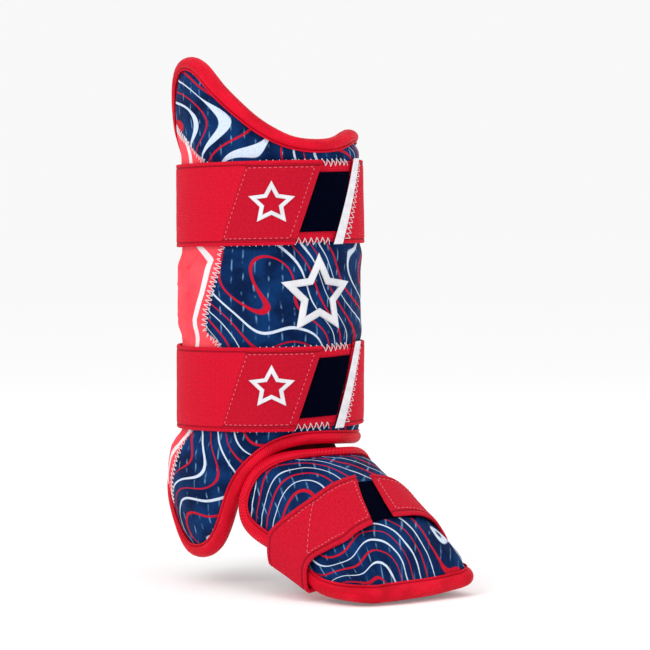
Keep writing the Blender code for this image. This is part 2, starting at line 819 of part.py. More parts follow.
def along_at(run, turn):
    wanted = math.radians(turn) * FOOT_HALF_WIDTH
    nearest = min(run.points, key=lambda point: abs(point.x - wanted))
    return nearest.y


def main():
    clear_scene()
    pieces = make_shin() + make_foot_guard()
    pieces += make_strap("upper", UPPER_STRAP_HEIGHT)
    pieces += make_strap("lower", LOWER_STRAP_HEIGHT)
    middle = (UPPER_STRAP_HEIGHT + LOWER_STRAP_HEIGHT) / 2
    pieces.append(
        star_badge(
            "shin_badge", SHIN_BADGE_ANGLE, middle, SHIN_BADGE_SIZE,
            lambda angle: 0, SHIN_BADGE_LIFT, SHIN_BADGE_THICK,
        )
    )
    pieces += [make_foot_strap(), make_foot_loop_pad(), make_gusset()]
    seat = bpy.data.objects.new("leg_seat", None)
    bpy.context.scene.collection.objects.link(seat)
    seat.location = (0, 0, -SEAT_HEIGHT)
    for piece in pieces:
        piece.parent = seat


main()
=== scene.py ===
"""Looks of a batter's leg guard: printed padding, ribbed binding, elastic straps and their stitches.

Every soft piece is laid on the same two surfaces as the solid that it replaces: the leg, read from
LEG_ROWS, and the foot guard, read from FOOT_ROWS. Metres. Heights are above the floor, and meshes are
lowered by SEAT_HEIGHT at the end, because the frame's origin is half way between the two straps.
"""

import math
from collections import namedtuple

import bmesh
import bpy
import numpy as np
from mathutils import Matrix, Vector

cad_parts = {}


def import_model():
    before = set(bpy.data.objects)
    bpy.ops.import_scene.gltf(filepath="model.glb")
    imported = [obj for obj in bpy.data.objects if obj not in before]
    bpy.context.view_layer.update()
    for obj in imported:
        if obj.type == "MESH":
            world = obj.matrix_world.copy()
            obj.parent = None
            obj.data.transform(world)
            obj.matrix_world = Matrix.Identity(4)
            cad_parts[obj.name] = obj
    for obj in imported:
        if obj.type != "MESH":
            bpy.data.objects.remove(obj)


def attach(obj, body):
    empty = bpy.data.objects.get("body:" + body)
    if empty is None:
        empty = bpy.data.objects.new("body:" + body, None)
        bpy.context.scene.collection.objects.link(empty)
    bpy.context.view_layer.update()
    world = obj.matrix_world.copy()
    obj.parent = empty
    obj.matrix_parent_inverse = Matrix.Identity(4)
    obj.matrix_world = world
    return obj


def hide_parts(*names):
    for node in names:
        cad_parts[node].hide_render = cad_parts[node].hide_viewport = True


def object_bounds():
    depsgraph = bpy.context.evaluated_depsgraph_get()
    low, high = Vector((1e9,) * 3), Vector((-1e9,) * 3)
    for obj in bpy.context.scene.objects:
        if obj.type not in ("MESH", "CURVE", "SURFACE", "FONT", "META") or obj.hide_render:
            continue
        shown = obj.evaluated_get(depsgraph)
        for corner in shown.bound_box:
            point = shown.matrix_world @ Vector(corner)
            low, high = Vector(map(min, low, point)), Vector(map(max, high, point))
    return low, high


MM = 0.001

# Sizes shared with the solids
GUARD_HEIGHT = 328 * MM
SHELL_RADIUS = 58 * MM
SHELL_WALL = 8 * MM
PANEL_WALL = 2.6 * MM
PANEL_SET_BACK = 0.5 * MM
PANEL_TUCK = 0.4 * MM
BINDING_WIDTH = 8.4 * MM
BINDING_PROUD = 1.0 * MM
FOOT_REACH = 148 * MM
FOOT_HEIGHT = 88 * MM
FOOT_HALF_WIDTH = 50 * MM
FOOT_RIDGE = 3 * MM
FOOT_WALL = 7 * MM
FOOT_BINDING_WIDTH = 9.8 * MM
STRAP_WIDTH = 52.4 * MM
BASE_WIDTH = 50 * MM
STRAP_THICK = 2.2 * MM
UPPER_STRAP_HEIGHT = 236 * MM
LOWER_STRAP_HEIGHT = 123 * MM
TAB_ANGLE = -13.0
ANCHOR_ANGLE = 17.0
SLANT_ANGLE = 17.5
BASE_THICK = 1.2 * MM
LOOP_PAD_THICK = 1.4 * MM
LOOP_PAD_WIDTH = 37 * MM
LABEL_WIDTH = 7.5 * MM
LABEL_THICK = 0.8 * MM
FOOT_STRAP_THICK = 2.2 * MM
SHIN_BADGE_SIZE = 52 * MM
SHIN_BADGE_ANGLE = -5.0
SHIN_BADGE_THICK = 1.6 * MM
SHIN_BADGE_LIFT = 0.5 * MM
STRAP_BADGE_SIZE = 28 * MM
STRAP_BADGE_ANGLE = -35.0
STRAP_BADGE_THICK = 0.7 * MM
STAR_NOTCH = 0.50
STAR_OPENING = 0.62
GUSSET_THICK = 1.6 * MM
GUSSET_HALF_ANGLE = 34.0
GUSSET_HOLD = 14 * MM
GAP = 0.3 * MM
BINDING_GAP = 0.5 * MM
SOLE_LEVEL = FOOT_STRAP_THICK + GAP
SEAT_HEIGHT = (UPPER_STRAP_HEIGHT + LOWER_STRAP_HEIGHT) / 2
CURVE_STEPS = 8

# Outer radius of the shell facing four ways, as shares of SHELL_RADIUS, at shares of GUARD_HEIGHT.
LegRow = namedtuple("LegRow", "height front medial back lateral")
LEG_ROWS = (
    LegRow(0.040, 0.862, 0.862, 0.905, 0.935),
    LegRow(0.131, 0.931, 0.897, 1.020, 1.045),
    LegRow(0.198, 0.970, 0.910, 1.080, 1.108),
    LegRow(0.250, 0.950, 0.880, 1.050, 1.075),
    LegRow(0.264, 0.963, 0.920, 1.020, 1.042),
    LegRow(0.286, 0.985, 0.970, 0.962, 0.980),
    LegRow(0.460, 0.991, 0.978, 0.962, 0.980),
    LegRow(0.490, 1.010, 0.985, 1.000, 1.023),
    LegRow(0.595, 1.010, 0.985, 1.000, 1.023),
    LegRow(0.628, 0.998, 0.978, 0.962, 0.980),
    LegRow(0.806, 0.990, 0.950, 0.962, 0.980),
    LegRow(0.850, 0.985, 0.915, 0.985, 1.020),
    LegRow(0.933, 0.995, 0.905, 1.012, 1.040),
    LegRow(1.010, 0.995, 0.905, 1.012, 1.040),
)

# The shell and panel's common outline: degrees round the leg from the front, positive towards the
# other leg, and shares of GUARD_HEIGHT. It runs from the panel's foot along the ankle.
EdgeRow = namedtuple("EdgeRow", "angle height corner")
GUARD_OUTLINE = (
    EdgeRow(-119, 0.131, "panel_low"),
    EdgeRow(-111, 0.090, ""),
    EdgeRow(-102, 0.070, ""),
    EdgeRow(-92, 0.068, ""),
    EdgeRow(-83, 0.074, ""),
    EdgeRow(-74, 0.097, ""),
    EdgeRow(-67, 0.136, ""),
    EdgeRow(-61, 0.183, ""),
    EdgeRow(-54, 0.223, ""),
    EdgeRow(-45, 0.252, ""),
    EdgeRow(-35, 0.273, ""),
    EdgeRow(-20, 0.287, ""),
    EdgeRow(2, 0.289, ""),
    EdgeRow(32, 0.284, ""),
    EdgeRow(65, 0.279, ""),
    EdgeRow(92, 0.286, ""),
    EdgeRow(105, 0.309, ""),
    EdgeRow(111, 0.355, "medial_low"),
    EdgeRow(112, 0.430, ""),
    EdgeRow(112, 0.549, ""),
    EdgeRow(112, 0.660, ""),
    EdgeRow(111, 0.742, "medial_high"),
    EdgeRow(105, 0.788, ""),
    EdgeRow(92, 0.818, ""),
    EdgeRow(65, 0.833, ""),
    EdgeRow(37, 0.837, ""),
    EdgeRow(15, 0.822, ""),
    EdgeRow(-3, 0.816, ""),
    EdgeRow(-20, 0.820, ""),
    EdgeRow(-33, 0.833, ""),
    EdgeRow(-45, 0.854, ""),
    EdgeRow(-57, 0.883, ""),
    EdgeRow(-68, 0.912, ""),
    EdgeRow(-77, 0.938, ""),
    EdgeRow(-84, 0.959, ""),
    EdgeRow(-92, 0.972, ""),
    EdgeRow(-103, 0.972, ""),
    EdgeRow(-113, 0.950, ""),
    EdgeRow(-119, 0.913, ""),
    EdgeRow(-123, 0.874, "panel_high"),
    EdgeRow(-131, 0.838, ""),
    EdgeRow(-140, 0.800, ""),
    EdgeRow(-147, 0.753, ""),
    EdgeRow(-150, 0.686, ""),
    EdgeRow(-150, 0.579, ""),
    EdgeRow(-150, 0.457, ""),
    EdgeRow(-150, 0.351, ""),
    EdgeRow(-148, 0.280, ""),
    EdgeRow(-141, 0.220, ""),
    EdgeRow(-130, 0.172, ""),
)

# The seam between shell and panel, from the panel's foot to its head.
SeamRow = namedtuple("SeamRow", "angle height")
PANEL_SEAM = (
    SeamRow(-119, 0.131),
    SeamRow(-112, 0.168),
    SeamRow(-107, 0.204),
    SeamRow(-102, 0.241),
    SeamRow(-97, 0.274),
    SeamRow(-90, 0.302),
    SeamRow(-80, 0.335),
    SeamRow(-71, 0.381),
    SeamRow(-68, 0.427),
    SeamRow(-71, 0.458),
    SeamRow(-78, 0.476),
    SeamRow(-79, 0.500),
    SeamRow(-75, 0.546),
    SeamRow(-70, 0.588),
    SeamRow(-67, 0.631),
    SeamRow(-67, 0.677),
    SeamRow(-72, 0.738),
    SeamRow(-80, 0.790),
    SeamRow(-91, 0.820),
    SeamRow(-106, 0.848),
    SeamRow(-123, 0.874),
)

# The white stripe on the panel, in two stretches, in degrees and shares of GUARD_HEIGHT.
HIGH_STRIPE = (
    SeamRow(-101, 0.850),
    SeamRow(-97, 0.800),
    SeamRow(-90, 0.700),
    SeamRow(-88, 0.640),
    SeamRow(-75, 0.612),
    SeamRow(-82, 0.550),
    SeamRow(-89, 0.500),
    SeamRow(-88, 0.478),
    SeamRow(-90, 0.440),
    SeamRow(-94, 0.380),
)
LOW_STRIPE = (
    SeamRow(-96, 0.330),
    SeamRow(-99, 0.288),
    SeamRow(-105, 0.256),
    SeamRow(-114, 0.236),
    SeamRow(-117, 0.210),
    SeamRow(-121, 0.180),
)

# Cross sections of the foot guard: shares of FOOT_REACH from the leg's axis, of FOOT_HEIGHT and of
# FOOT_HALF_WIDTH, and the exponent of the section's curve (2 is an ellipse, more is fuller).
FootRow = namedtuple("FootRow", "along height lateral medial fullness")
FOOT_ROWS = (
    FootRow(0.200, 1.085, 1.13, 1.02, 3.3),
    FootRow(0.304, 1.012, 1.13, 1.02, 3.2),
    FootRow(0.392, 0.950, 1.10, 1.01, 3.0),
    FootRow(0.507, 0.868, 1.05, 1.00, 2.7),
    FootRow(0.608, 0.770, 1.01, 1.00, 2.5),
    FootRow(0.709, 0.655, 0.98, 1.00, 2.4),
    FootRow(0.811, 0.545, 0.95, 1.00, 2.3),
    FootRow(0.878, 0.455, 0.90, 1.00, 2.3),
    FootRow(0.919, 0.355, 0.85, 0.99, 2.3),
    FootRow(0.950, 0.255, 0.80, 0.98, 2.3),
    FootRow(0.980, 0.115, 0.74, 0.96, 2.3),
)

# The foot guard's outline: degrees round the section from its ridge, negative on the outer side, and
# shares of FOOT_REACH. It runs from the outer rear corner along the sole to the toe and back.
FootEdgeRow = namedtuple("FootEdgeRow", "turn along corner")
FOOT_OUTLINE = (
    FootEdgeRow(-66, 0.305, "rear_lateral"),
    FootEdgeRow(-71, 0.340, ""),
    FootEdgeRow(-72.5, 0.408, ""),
    FootEdgeRow(-73, 0.520, ""),
    FootEdgeRow(-76.3, 0.638, ""),
    FootEdgeRow(-80.8, 0.745, ""),
    FootEdgeRow(-81.1, 0.829, ""),
    FootEdgeRow(-79.6, 0.895, ""),
    FootEdgeRow(-72.1, 0.947, ""),
    FootEdgeRow(-54.7, 0.967, "toe_lateral"),
    FootEdgeRow(-30.6, 0.974, ""),
    FootEdgeRow(-1.1, 0.976, ""),
    FootEdgeRow(27.9, 0.969, ""),
    FootEdgeRow(50.5, 0.958, "toe_medial"),
    FootEdgeRow(62, 0.937, ""),
    FootEdgeRow(71, 0.895, ""),
    FootEdgeRow(75, 0.826, ""),
    FootEdgeRow(79.5, 0.716, ""),
    FootEdgeRow(78, 0.622, ""),
    FootEdgeRow(75.5, 0.514, ""),
    FootEdgeRow(72, 0.405, ""),
    FootEdgeRow(69, 0.338, ""),
    FootEdgeRow(63, 0.295, "rear_medial"),
    FootEdgeRow(54, 0.308, ""),
    FootEdgeRow(40, 0.346, ""),
    FootEdgeRow(24, 0.390, ""),
    FootEdgeRow(8, 0.428, ""),
    FootEdgeRow(-8, 0.430, ""),
    FootEdgeRow(-22, 0.398, ""),
    FootEdgeRow(-37, 0.353, ""),
    FootEdgeRow(-52, 0.318, ""),
)

# The foot strap where it lies on the foot guard: its outer half from the tab down to the fold, and
# its inner half from the fold up to the tab. The columns give its rear and front edges.
BandRow = namedtuple("BandRow", "rear_turn rear_along front_turn front_along lift_mm")
OUTER_BAND = (
    BandRow(-3, 0.610, -20, 0.848, 2.2),
    BandRow(-12, 0.614, -26, 0.846, 2.2),
    BandRow(-24, 0.612, -35, 0.842, 2.0),
    BandRow(-37, 0.598, -46, 0.832, 0.9),
    BandRow(-53, 0.553, -60, 0.784, 0.8),
    BandRow(-66, 0.495, -71, 0.726, 1.6),
    BandRow(-73, 0.468, -79, 0.706, 2.6),
)
INNER_BAND = (
    BandRow(80, 0.561, 82, 0.770, 2.4),
    BandRow(65, 0.588, 65, 0.780, 1.6),
    BandRow(50, 0.608, 50, 0.791, 0.9),
    BandRow(35, 0.616, 35, 0.810, 1.6),
    BandRow(18, 0.615, 18, 0.826, 2.2),
    BandRow(3, 0.614, -2, 0.838, 2.2),
)

# Where the foot strap folds under the foot guard's binding, as shares of FOOT_REACH and FOOT_HEIGHT.
FoldRow = namedtuple("FoldRow", "side rear_along rear_height front_along front_height lift_mm")
OUTER_FOLD = FoldRow(-1, 0.480, 0.225, 0.716, 0.062, 1.8)
INNER_FOLD = FoldRow(1, 0.547, 0.110, 0.760, 0.030, 2.8)

# How far the straps stand off the shell, from the tab's end round the back to the anchor, in mm.
LiftRow = namedtuple("LiftRow", "angle lift_mm")
STRAP_LIFTS = (
    LiftRow(30, 3.5),
    LiftRow(-27, 3.5),
    LiftRow(-64, 0.7),
    LiftRow(-132, 0.7),
    LiftRow(-150, 2.0),
    LiftRow(-180, 2.4),
    LiftRow(-248, 2.4),
    LiftRow(-268, 1.0),
    LiftRow(-290, 0.7),
    LiftRow(-400, 0.7),
)

# How far a strap's middle line rises or drops round the leg, for each strap, in mm.
RiseRow = namedtuple("RiseRow", "angle upper_mm lower_mm")
STRAP_RISES = (
    RiseRow(30, 1.7, 0.2),
    RiseRow(17, 1.5, 0.2),
    RiseRow(-13, 0.8, -1.0),
    RiseRow(-60, -0.2, -1.8),
    RiseRow(-127, -1.6, -2.6),
    RiseRow(-200, -0.6, -1.4),
    RiseRow(-280, 1.0, 0.0),
    RiseRow(-343, 1.5, 0.2),
    RiseRow(-400, 1.7, 0.2),
)

# Looks: the cross section of a rolled binding, from its seam lip over the roll and back inside, as
# shares of its width from the cloth's edge and of half its depth.
RollRow = namedtuple("RollRow", "across depth")
BINDING_ROLL = (
    RollRow(-0.12, 0.97),
    RollRow(-0.11, 1.08),
    RollRow(-0.05, 1.12),
    RollRow(0.00, 1.06),
    RollRow(0.04, 0.98),
    RollRow(0.09, 1.08),
    RollRow(0.17, 1.21),
    RollRow(0.29, 1.29),
    RollRow(0.43, 1.30),
    RollRow(0.57, 1.22),
    RollRow(0.71, 1.03),
    RollRow(0.82, 0.74),
    RollRow(0.89, 0.38),
    RollRow(0.91, 0.00),
    RollRow(0.88, -0.40),
    RollRow(0.80, -0.74),
    RollRow(0.66, -1.00),
    RollRow(0.46, -1.12),
    RollRow(0.26, -1.10),
    RollRow(0.12, -1.00),
    RollRow(0.05, -0.88),
    RollRow(0.02, -0.40),
    RollRow(0.02, 0.50),
    RollRow(-0.02, 0.96),
)


# Reading tables
class Table:
    """Reads a table's columns between its rows, by a cubic through them that has no overshoot."""

    def __init__(self, rows, key):
        rows = sorted(rows, key=lambda row: getattr(row, key))
        self.marks = np.array([getattr(row, key) for row in rows], float)
        self.columns = {}
        for name in rows[0]._fields:
            if isinstance(getattr(rows[0], name), (int, float)):
                self.columns[name] = np.array([getattr(row, name) for row in rows], float)

    def slopes(self, values):
        steps = np.diff(values) / np.diff(self.marks)
        before, after = steps[:-1], steps[1:]
        rising = before * after > 0
        total = np.where(rising, before + after, 1)
        inner = np.where(rising, 2 * before * after / total, 0)
        return np.concatenate([[0], inner, [0]])

    def read(self, name, place):
        values = self.columns[name]
        slopes = self.slopes(values)
        place = np.clip(place, self.marks[0], self.marks[-1])
        low = np.clip(np.searchsorted(self.marks, place) - 1, 0, len(self.marks) - 2)
        span = self.marks[low + 1] - self.marks[low]
        share = (place - self.marks[low]) / span
        squared, cubed = share**2, share**3
        return (
            values[low] * (2 * cubed - 3 * squared + 1)
            + slopes[low] * span * (cubed - 2 * squared + share)
            + values[low + 1] * (3 * squared - 2 * cubed)
            + slopes[low + 1] * span * (cubed - squared)
        )


LEG = Table(LEG_ROWS, "height")
FOOT = Table(FOOT_ROWS, "along")
LIFT = Table(STRAP_LIFTS, "angle")
RISE = Table(STRAP_RISES, "angle")


def mix(low, high, share):
    return low + (high - low) * share


def bell(distance, width):
    return np.exp(-((distance / width) ** 2))


def ease(share):
    share = np.clip(share, 0, 1)
    return share * share * (3 - 2 * share)


# Surfaces. A place is an arc length round the surface and a height up the leg or a length along
# the foot, and proud is the distance off the surface.
def leg_place(angle, share):
    return np.array([math.radians(angle) * SHELL_RADIUS, share * GUARD_HEIGHT])


def foot_place(turn, share):
    return np.array([math.radians(turn) * FOOT_HALF_WIDTH, share * FOOT_REACH])


def on_leg(place, proud):
    around, height = place[..., 0] / SHELL_RADIUS, place[..., 1]
    ways = ("front", "medial", "back", "lateral")
    front, medial, back, lateral = (LEG.read(way, height / GUARD_HEIGHT) for way in ways)
    mean = (front + medial + back + lateral) / 4
    fore = (front - back) / 2 * np.cos(around)
    side = (medial - lateral) / 2 * np.sin(around)
    oval = (front + back - medial - lateral) / 4 * np.cos(2 * around)
    radius = SHELL_RADIUS * (mean + fore + side + oval) + proud
    return np.stack([radius * np.sin(around), -radius * np.cos(around), height + 0 * radius], -1)


def foot_surface(around, along):
    share = along / FOOT_REACH
    half = np.where(around < 0, FOOT.read("lateral", share), FOOT.read("medial", share))
    power = 2 / FOOT.read("fullness", share)
    across = np.sign(around) * np.abs(np.sin(around)) ** power
    up = np.abs(np.cos(around)) ** power
    height = SOLE_LEVEL + (FOOT.read("height", share) * FOOT_HEIGHT - SOLE_LEVEL) * up
    return np.stack([FOOT_RIDGE + half * FOOT_HALF_WIDTH * across, -along, height], -1)


def on_foot(place, proud):
    around, along = place[..., 0] / FOOT_HALF_WIDTH, place[..., 1]
    turn, step = math.radians(1), 1 * MM
    most = math.radians(90)
    across = foot_surface(np.minimum(around + turn, most), along)
    across = across - foot_surface(np.maximum(around - turn, -most), along)
    ahead = foot_surface(around, along + step) - foot_surface(around, along - step)
    normal = np.cross(ahead, across)
    normal /= np.linalg.norm(normal, axis=-1, keepdims=True)
    return foot_surface(around, along) + normal * np.expand_dims(proud + 0 * along, -1)


# Curves on the surfaces
def smooth_run(points, closed):
    """The points of a smooth curve through the given ones, CURVE_STEPS to each stretch."""
    count = len(points)
    found = []
    share = np.linspace(0, 1, CURVE_STEPS, endpoint=False)[:, None]
    for index in range(count if closed else count - 1):
        around = [index + offset for offset in (-1, 0, 1, 2)]
        if closed:
            before, start, end, after = (points[place % count] for place in around)
        else:
            before, start, end, after = (points[min(max(place, 0), count - 1)] for place in around)
        found.append(
            0.5
            * (
                2 * start
                + (end - before) * share
                + (2 * before - 5 * start + 4 * end - after) * share**2
                + (3 * start - before - 3 * end + after) * share**3
            )
        )
    if not closed:
        found.append(points[-1][None])
    return np.concatenate(found)


class Run:
    """A curve of places on a surface, read by the share of its length."""

    def __init__(self, points):
        self.points = np.asarray(points, float)
        steps = np.linalg.norm(np.diff(self.points, axis=0), axis=1)
        self.reached = np.concatenate([[0], np.cumsum(steps)])
        self.length = self.reached[-1]

    def at(self, share):
        wanted = np.asarray(share, float) * self.length
        columns = [np.interp(wanted, self.reached, column) for column in self.points.T]
        return np.stack(columns, -1)

    def reversed(self):
        return Run(self.points[::-1])

    def beside(self, share, distance):
        """Places to the left of the curve, at a distance."""
        share = np.asarray(share, float)
        near = 0.4 * MM / self.length
        ahead = self.at(np.minimum(share + near, 1)) - self.at(np.maximum(share - near, 0))
        ahead /= np.linalg.norm(ahead, axis=-1, keepdims=True)
        left = np.stack([-ahead[..., 1], ahead[..., 0]], -1)
        return self.at(share) + left * np.expand_dims(distance + 0 * share, -1)


def sides_of(outline, placed):
    """The stretches of a closed outline between its named corners, by the corner they start at."""
    loop = smooth_run([placed(row[0], row[1]) for row in outline], closed=True)
    corners = [(row.corner, index) for index, row in enumerate(outline) if row.corner]
    sides = {}
    for place, (name, start) in enumerate(corners):
        end = corners[(place + 1) % len(corners)][1]
        if end <= start:
            end += len(outline)
        steps = np.arange(start * CURVE_STEPS, end * CURVE_STEPS + 1)
        sides[name] = Run(loop[steps % len(loop)])
    return sides


def patch_between(left, right, bottom, top, columns, rows):
    """A grid that fills the space inside four curves; left and right run up, the others run across."""
    up_shares, over_shares = np.linspace(0, 1, rows), np.linspace(0, 1, columns)
    up, over = up_shares[:, None, None], over_shares[None, :, None]
    low, high = bottom.at(over_shares)[None], top.at(over_shares)[None]
    ruled = mix(left.at(up_shares)[:, None], right.at(up_shares)[:, None], over)
    ruled = ruled + mix(low, high, up)
    corners = mix(mix(low[:, :1], low[:, -1:], over), mix(high[:, :1], high[:, -1:], over), up)
    return ruled - corners


def distance_to(grid, run):
    """How far each place of a grid is from a curve."""
    flat = grid.reshape(-1, 2)
    marks = run.at(np.linspace(0, 1, 500))
    nearest = np.full(len(flat), 1.0)
    for mark in marks:
        nearest = np.minimum(nearest, np.hypot(*(flat - mark).T))
    return nearest.reshape(grid.shape[:-1])


# Making meshes
class Patch:
    """Quads over a grid of point numbers, with a place on the cloth for each corner."""

    def __init__(self, numbers, places, material=0):
        def corners(grid):
            return np.stack([grid[:-1, :-1], grid[:-1, 1:], grid[1:, 1:], grid[1:, :-1]], 2)

        self.faces = corners(numbers).reshape(-1, 4)
        self.places = corners(places).reshape(-1, 4, 2)
        self.material = material


class Cap:
    """One face that closes a ring of point numbers."""

    def __init__(self, numbers, material=0):
        self.faces = np.array([numbers])
        self.places = np.zeros((1, len(numbers), 2))
        self.material = material


def add_piece(name, points, patches, materials):
    points = np.array(points, float).reshape(-1, 3)
    points[:, 2] -= SEAT_HEIGHT
    faces = [face for patch in patches for face in patch.faces.tolist()]
    places = np.concatenate([patch.places.reshape(-1, 2) for patch in patches])
    mesh = bpy.data.meshes.new(name)
    mesh.from_pydata(points.tolist(), [], faces)
    layer = mesh.uv_layers.new(name="cloth")
    layer.data.foreach_set("uv", places.astype(np.float32).ravel())
    numbers = np.concatenate([np.full(len(patch.faces), patch.material) for patch in patches])
    mesh.polygons.foreach_set("material_index", numbers.astype(np.int32))
    solid = bmesh.new()
    solid.from_mesh(mesh)
    bmesh.ops.recalc_face_normals(solid, faces=solid.faces)
    solid.to_mesh(mesh)
    solid.free()
    for material in materials:
        mesh.materials.append(material)
    mesh.shade_smooth()
    mesh.set_sharp_from_angle(angle=math.radians(60))
    obj = bpy.data.objects.new(name, mesh)
    bpy.context.scene.collection.objects.link(obj)
    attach(obj, "root")
    return obj


def thick_cloth(name, outer, inner, places, materials):
    """A closed sheet between two like grids of points. Its second material, if any, is the inside's."""
    rows, columns = outer.shape[:2]
    numbers = np.arange(rows * columns).reshape(rows, columns)
    under = numbers + rows * columns
    inside = len(materials) - 1
    patches = [
        Patch(numbers, places),
        Patch(under[:, ::-1], places[:, ::-1], inside),
        Patch(np.stack([under[:, 0], numbers[:, 0]], 1), places[:, [0, 0]], inside),
        Patch(np.stack([numbers[:, -1], under[:, -1]], 1), places[:, [-1, -1]], inside),
        Patch(np.stack([numbers[0, ::-1], under[0, ::-1]], 1), places[[0, 0], ::-1].swapaxes(0, 1), inside),
        Patch(np.stack([numbers[-1], under[-1]], 1), places[[-1, -1]].swapaxes(0, 1), inside),
    ]
    points = np.concatenate([outer.reshape(-1, 3), inner.reshape(-1, 3)])
    return add_piece(name, points, patches, materials)


def threads(name, lines, surface, radius, material, sides=6):
    """Sewing threads in one piece. A line is its places, its distances off the surface and its girths."""
    points, patches, first = [], [], 0
    around = np.linspace(0, 2 * math.pi, sides, endpoint=False)
    for places, proud, girth in lines:
        centre = surface(places, proud)
        out = surface(places, proud + 1 * MM) - centre
        out /= np.linalg.norm(out, axis=1, keepdims=True)
        ahead = np.gradient(centre, axis=0)
        beside = np.cross(ahead, out)
        beside /= np.linalg.norm(beside, axis=1, keepdims=True)
        ring = out[:, None] * np.cos(around)[None, :, None]
        ring = ring + beside[:, None] * np.sin(around)[None, :, None]
        tube = centre[:, None] + ring * (radius * girth)[:, None, None]
        count = len(places)
        numbers = first + np.arange(count * sides).reshape(count, sides)
        numbers = np.concatenate([numbers, numbers[:, :1]], 1)
        length = np.linspace(0, 1, count)[:, None] * np.ones(sides + 1)
        turn = np.linspace(0, 1, sides + 1)[None] * np.ones(count)[:, None]
        patches.append(Patch(numbers, np.stack([length, turn], -1) * 2 * MM))
        patches += [Cap(numbers[0, :-1]), Cap(numbers[-1, :-1])]
        points.append(tube.reshape(-1, 3))
        first += count * sides
    obj = add_piece(name, np.concatenate(points), patches, [material])
    return obj


def dashes(run, pitch, length, proud, start=0.0, end=1.0):
    """Straight stitches along a curve, each sinking into the cloth at its ends."""
    count = max(int(run.length * (end - start) / pitch), 1)
    found = []
    for index in range(count):
        middle = mix(start, end, (index + 0.5) / count)
        half = length / 2 / run.length
        shares = np.clip(np.linspace(middle - half, middle + half, 5), 0, 1)
        dip = np.array([-0.35, -0.05, 0.0, -0.05, -0.35]) * MM
        girth = np.array([0.35, 0.95, 1.0, 0.95, 0.35])
        found.append((run.at(shares), proud + dip, girth))
    return found


def zigzag(run, pitch, width, proud, start=0.0, end=1.0, seed=3):
    """Zigzag stitches along a curve, as one thread for each leg of the zigzag."""
    random = np.random.default_rng(seed)
    count = int(run.length * (end - start) / pitch) * 2
    shares = np.linspace(start, end, count + 1)
    sway = width / 2 * np.where(np.arange(count + 1) % 2, 1, -1)
    sway = sway * random.uniform(0.85, 1.12, count + 1)
    corners = run.beside(shares, sway)
    found = []
    for first, last in zip(corners, corners[1:]):
        share = np.linspace(0, 1, 6)[:, None]
        places = mix(first, last, share)
        dip = np.array([-0.25, 0.0, 0.1, 0.1, 0.0, -0.25]) * MM
        middle = distance_proud(places, proud)
        found.append((places, middle + dip, np.array([0.6, 1.0, 1.0, 1.0, 1.0, 0.6])))
    return found


def distance_proud(places, proud):
    return proud(places) if callable(proud) else np.full(len(places), proud)


# Materials
BINDING_RIB = 1.35


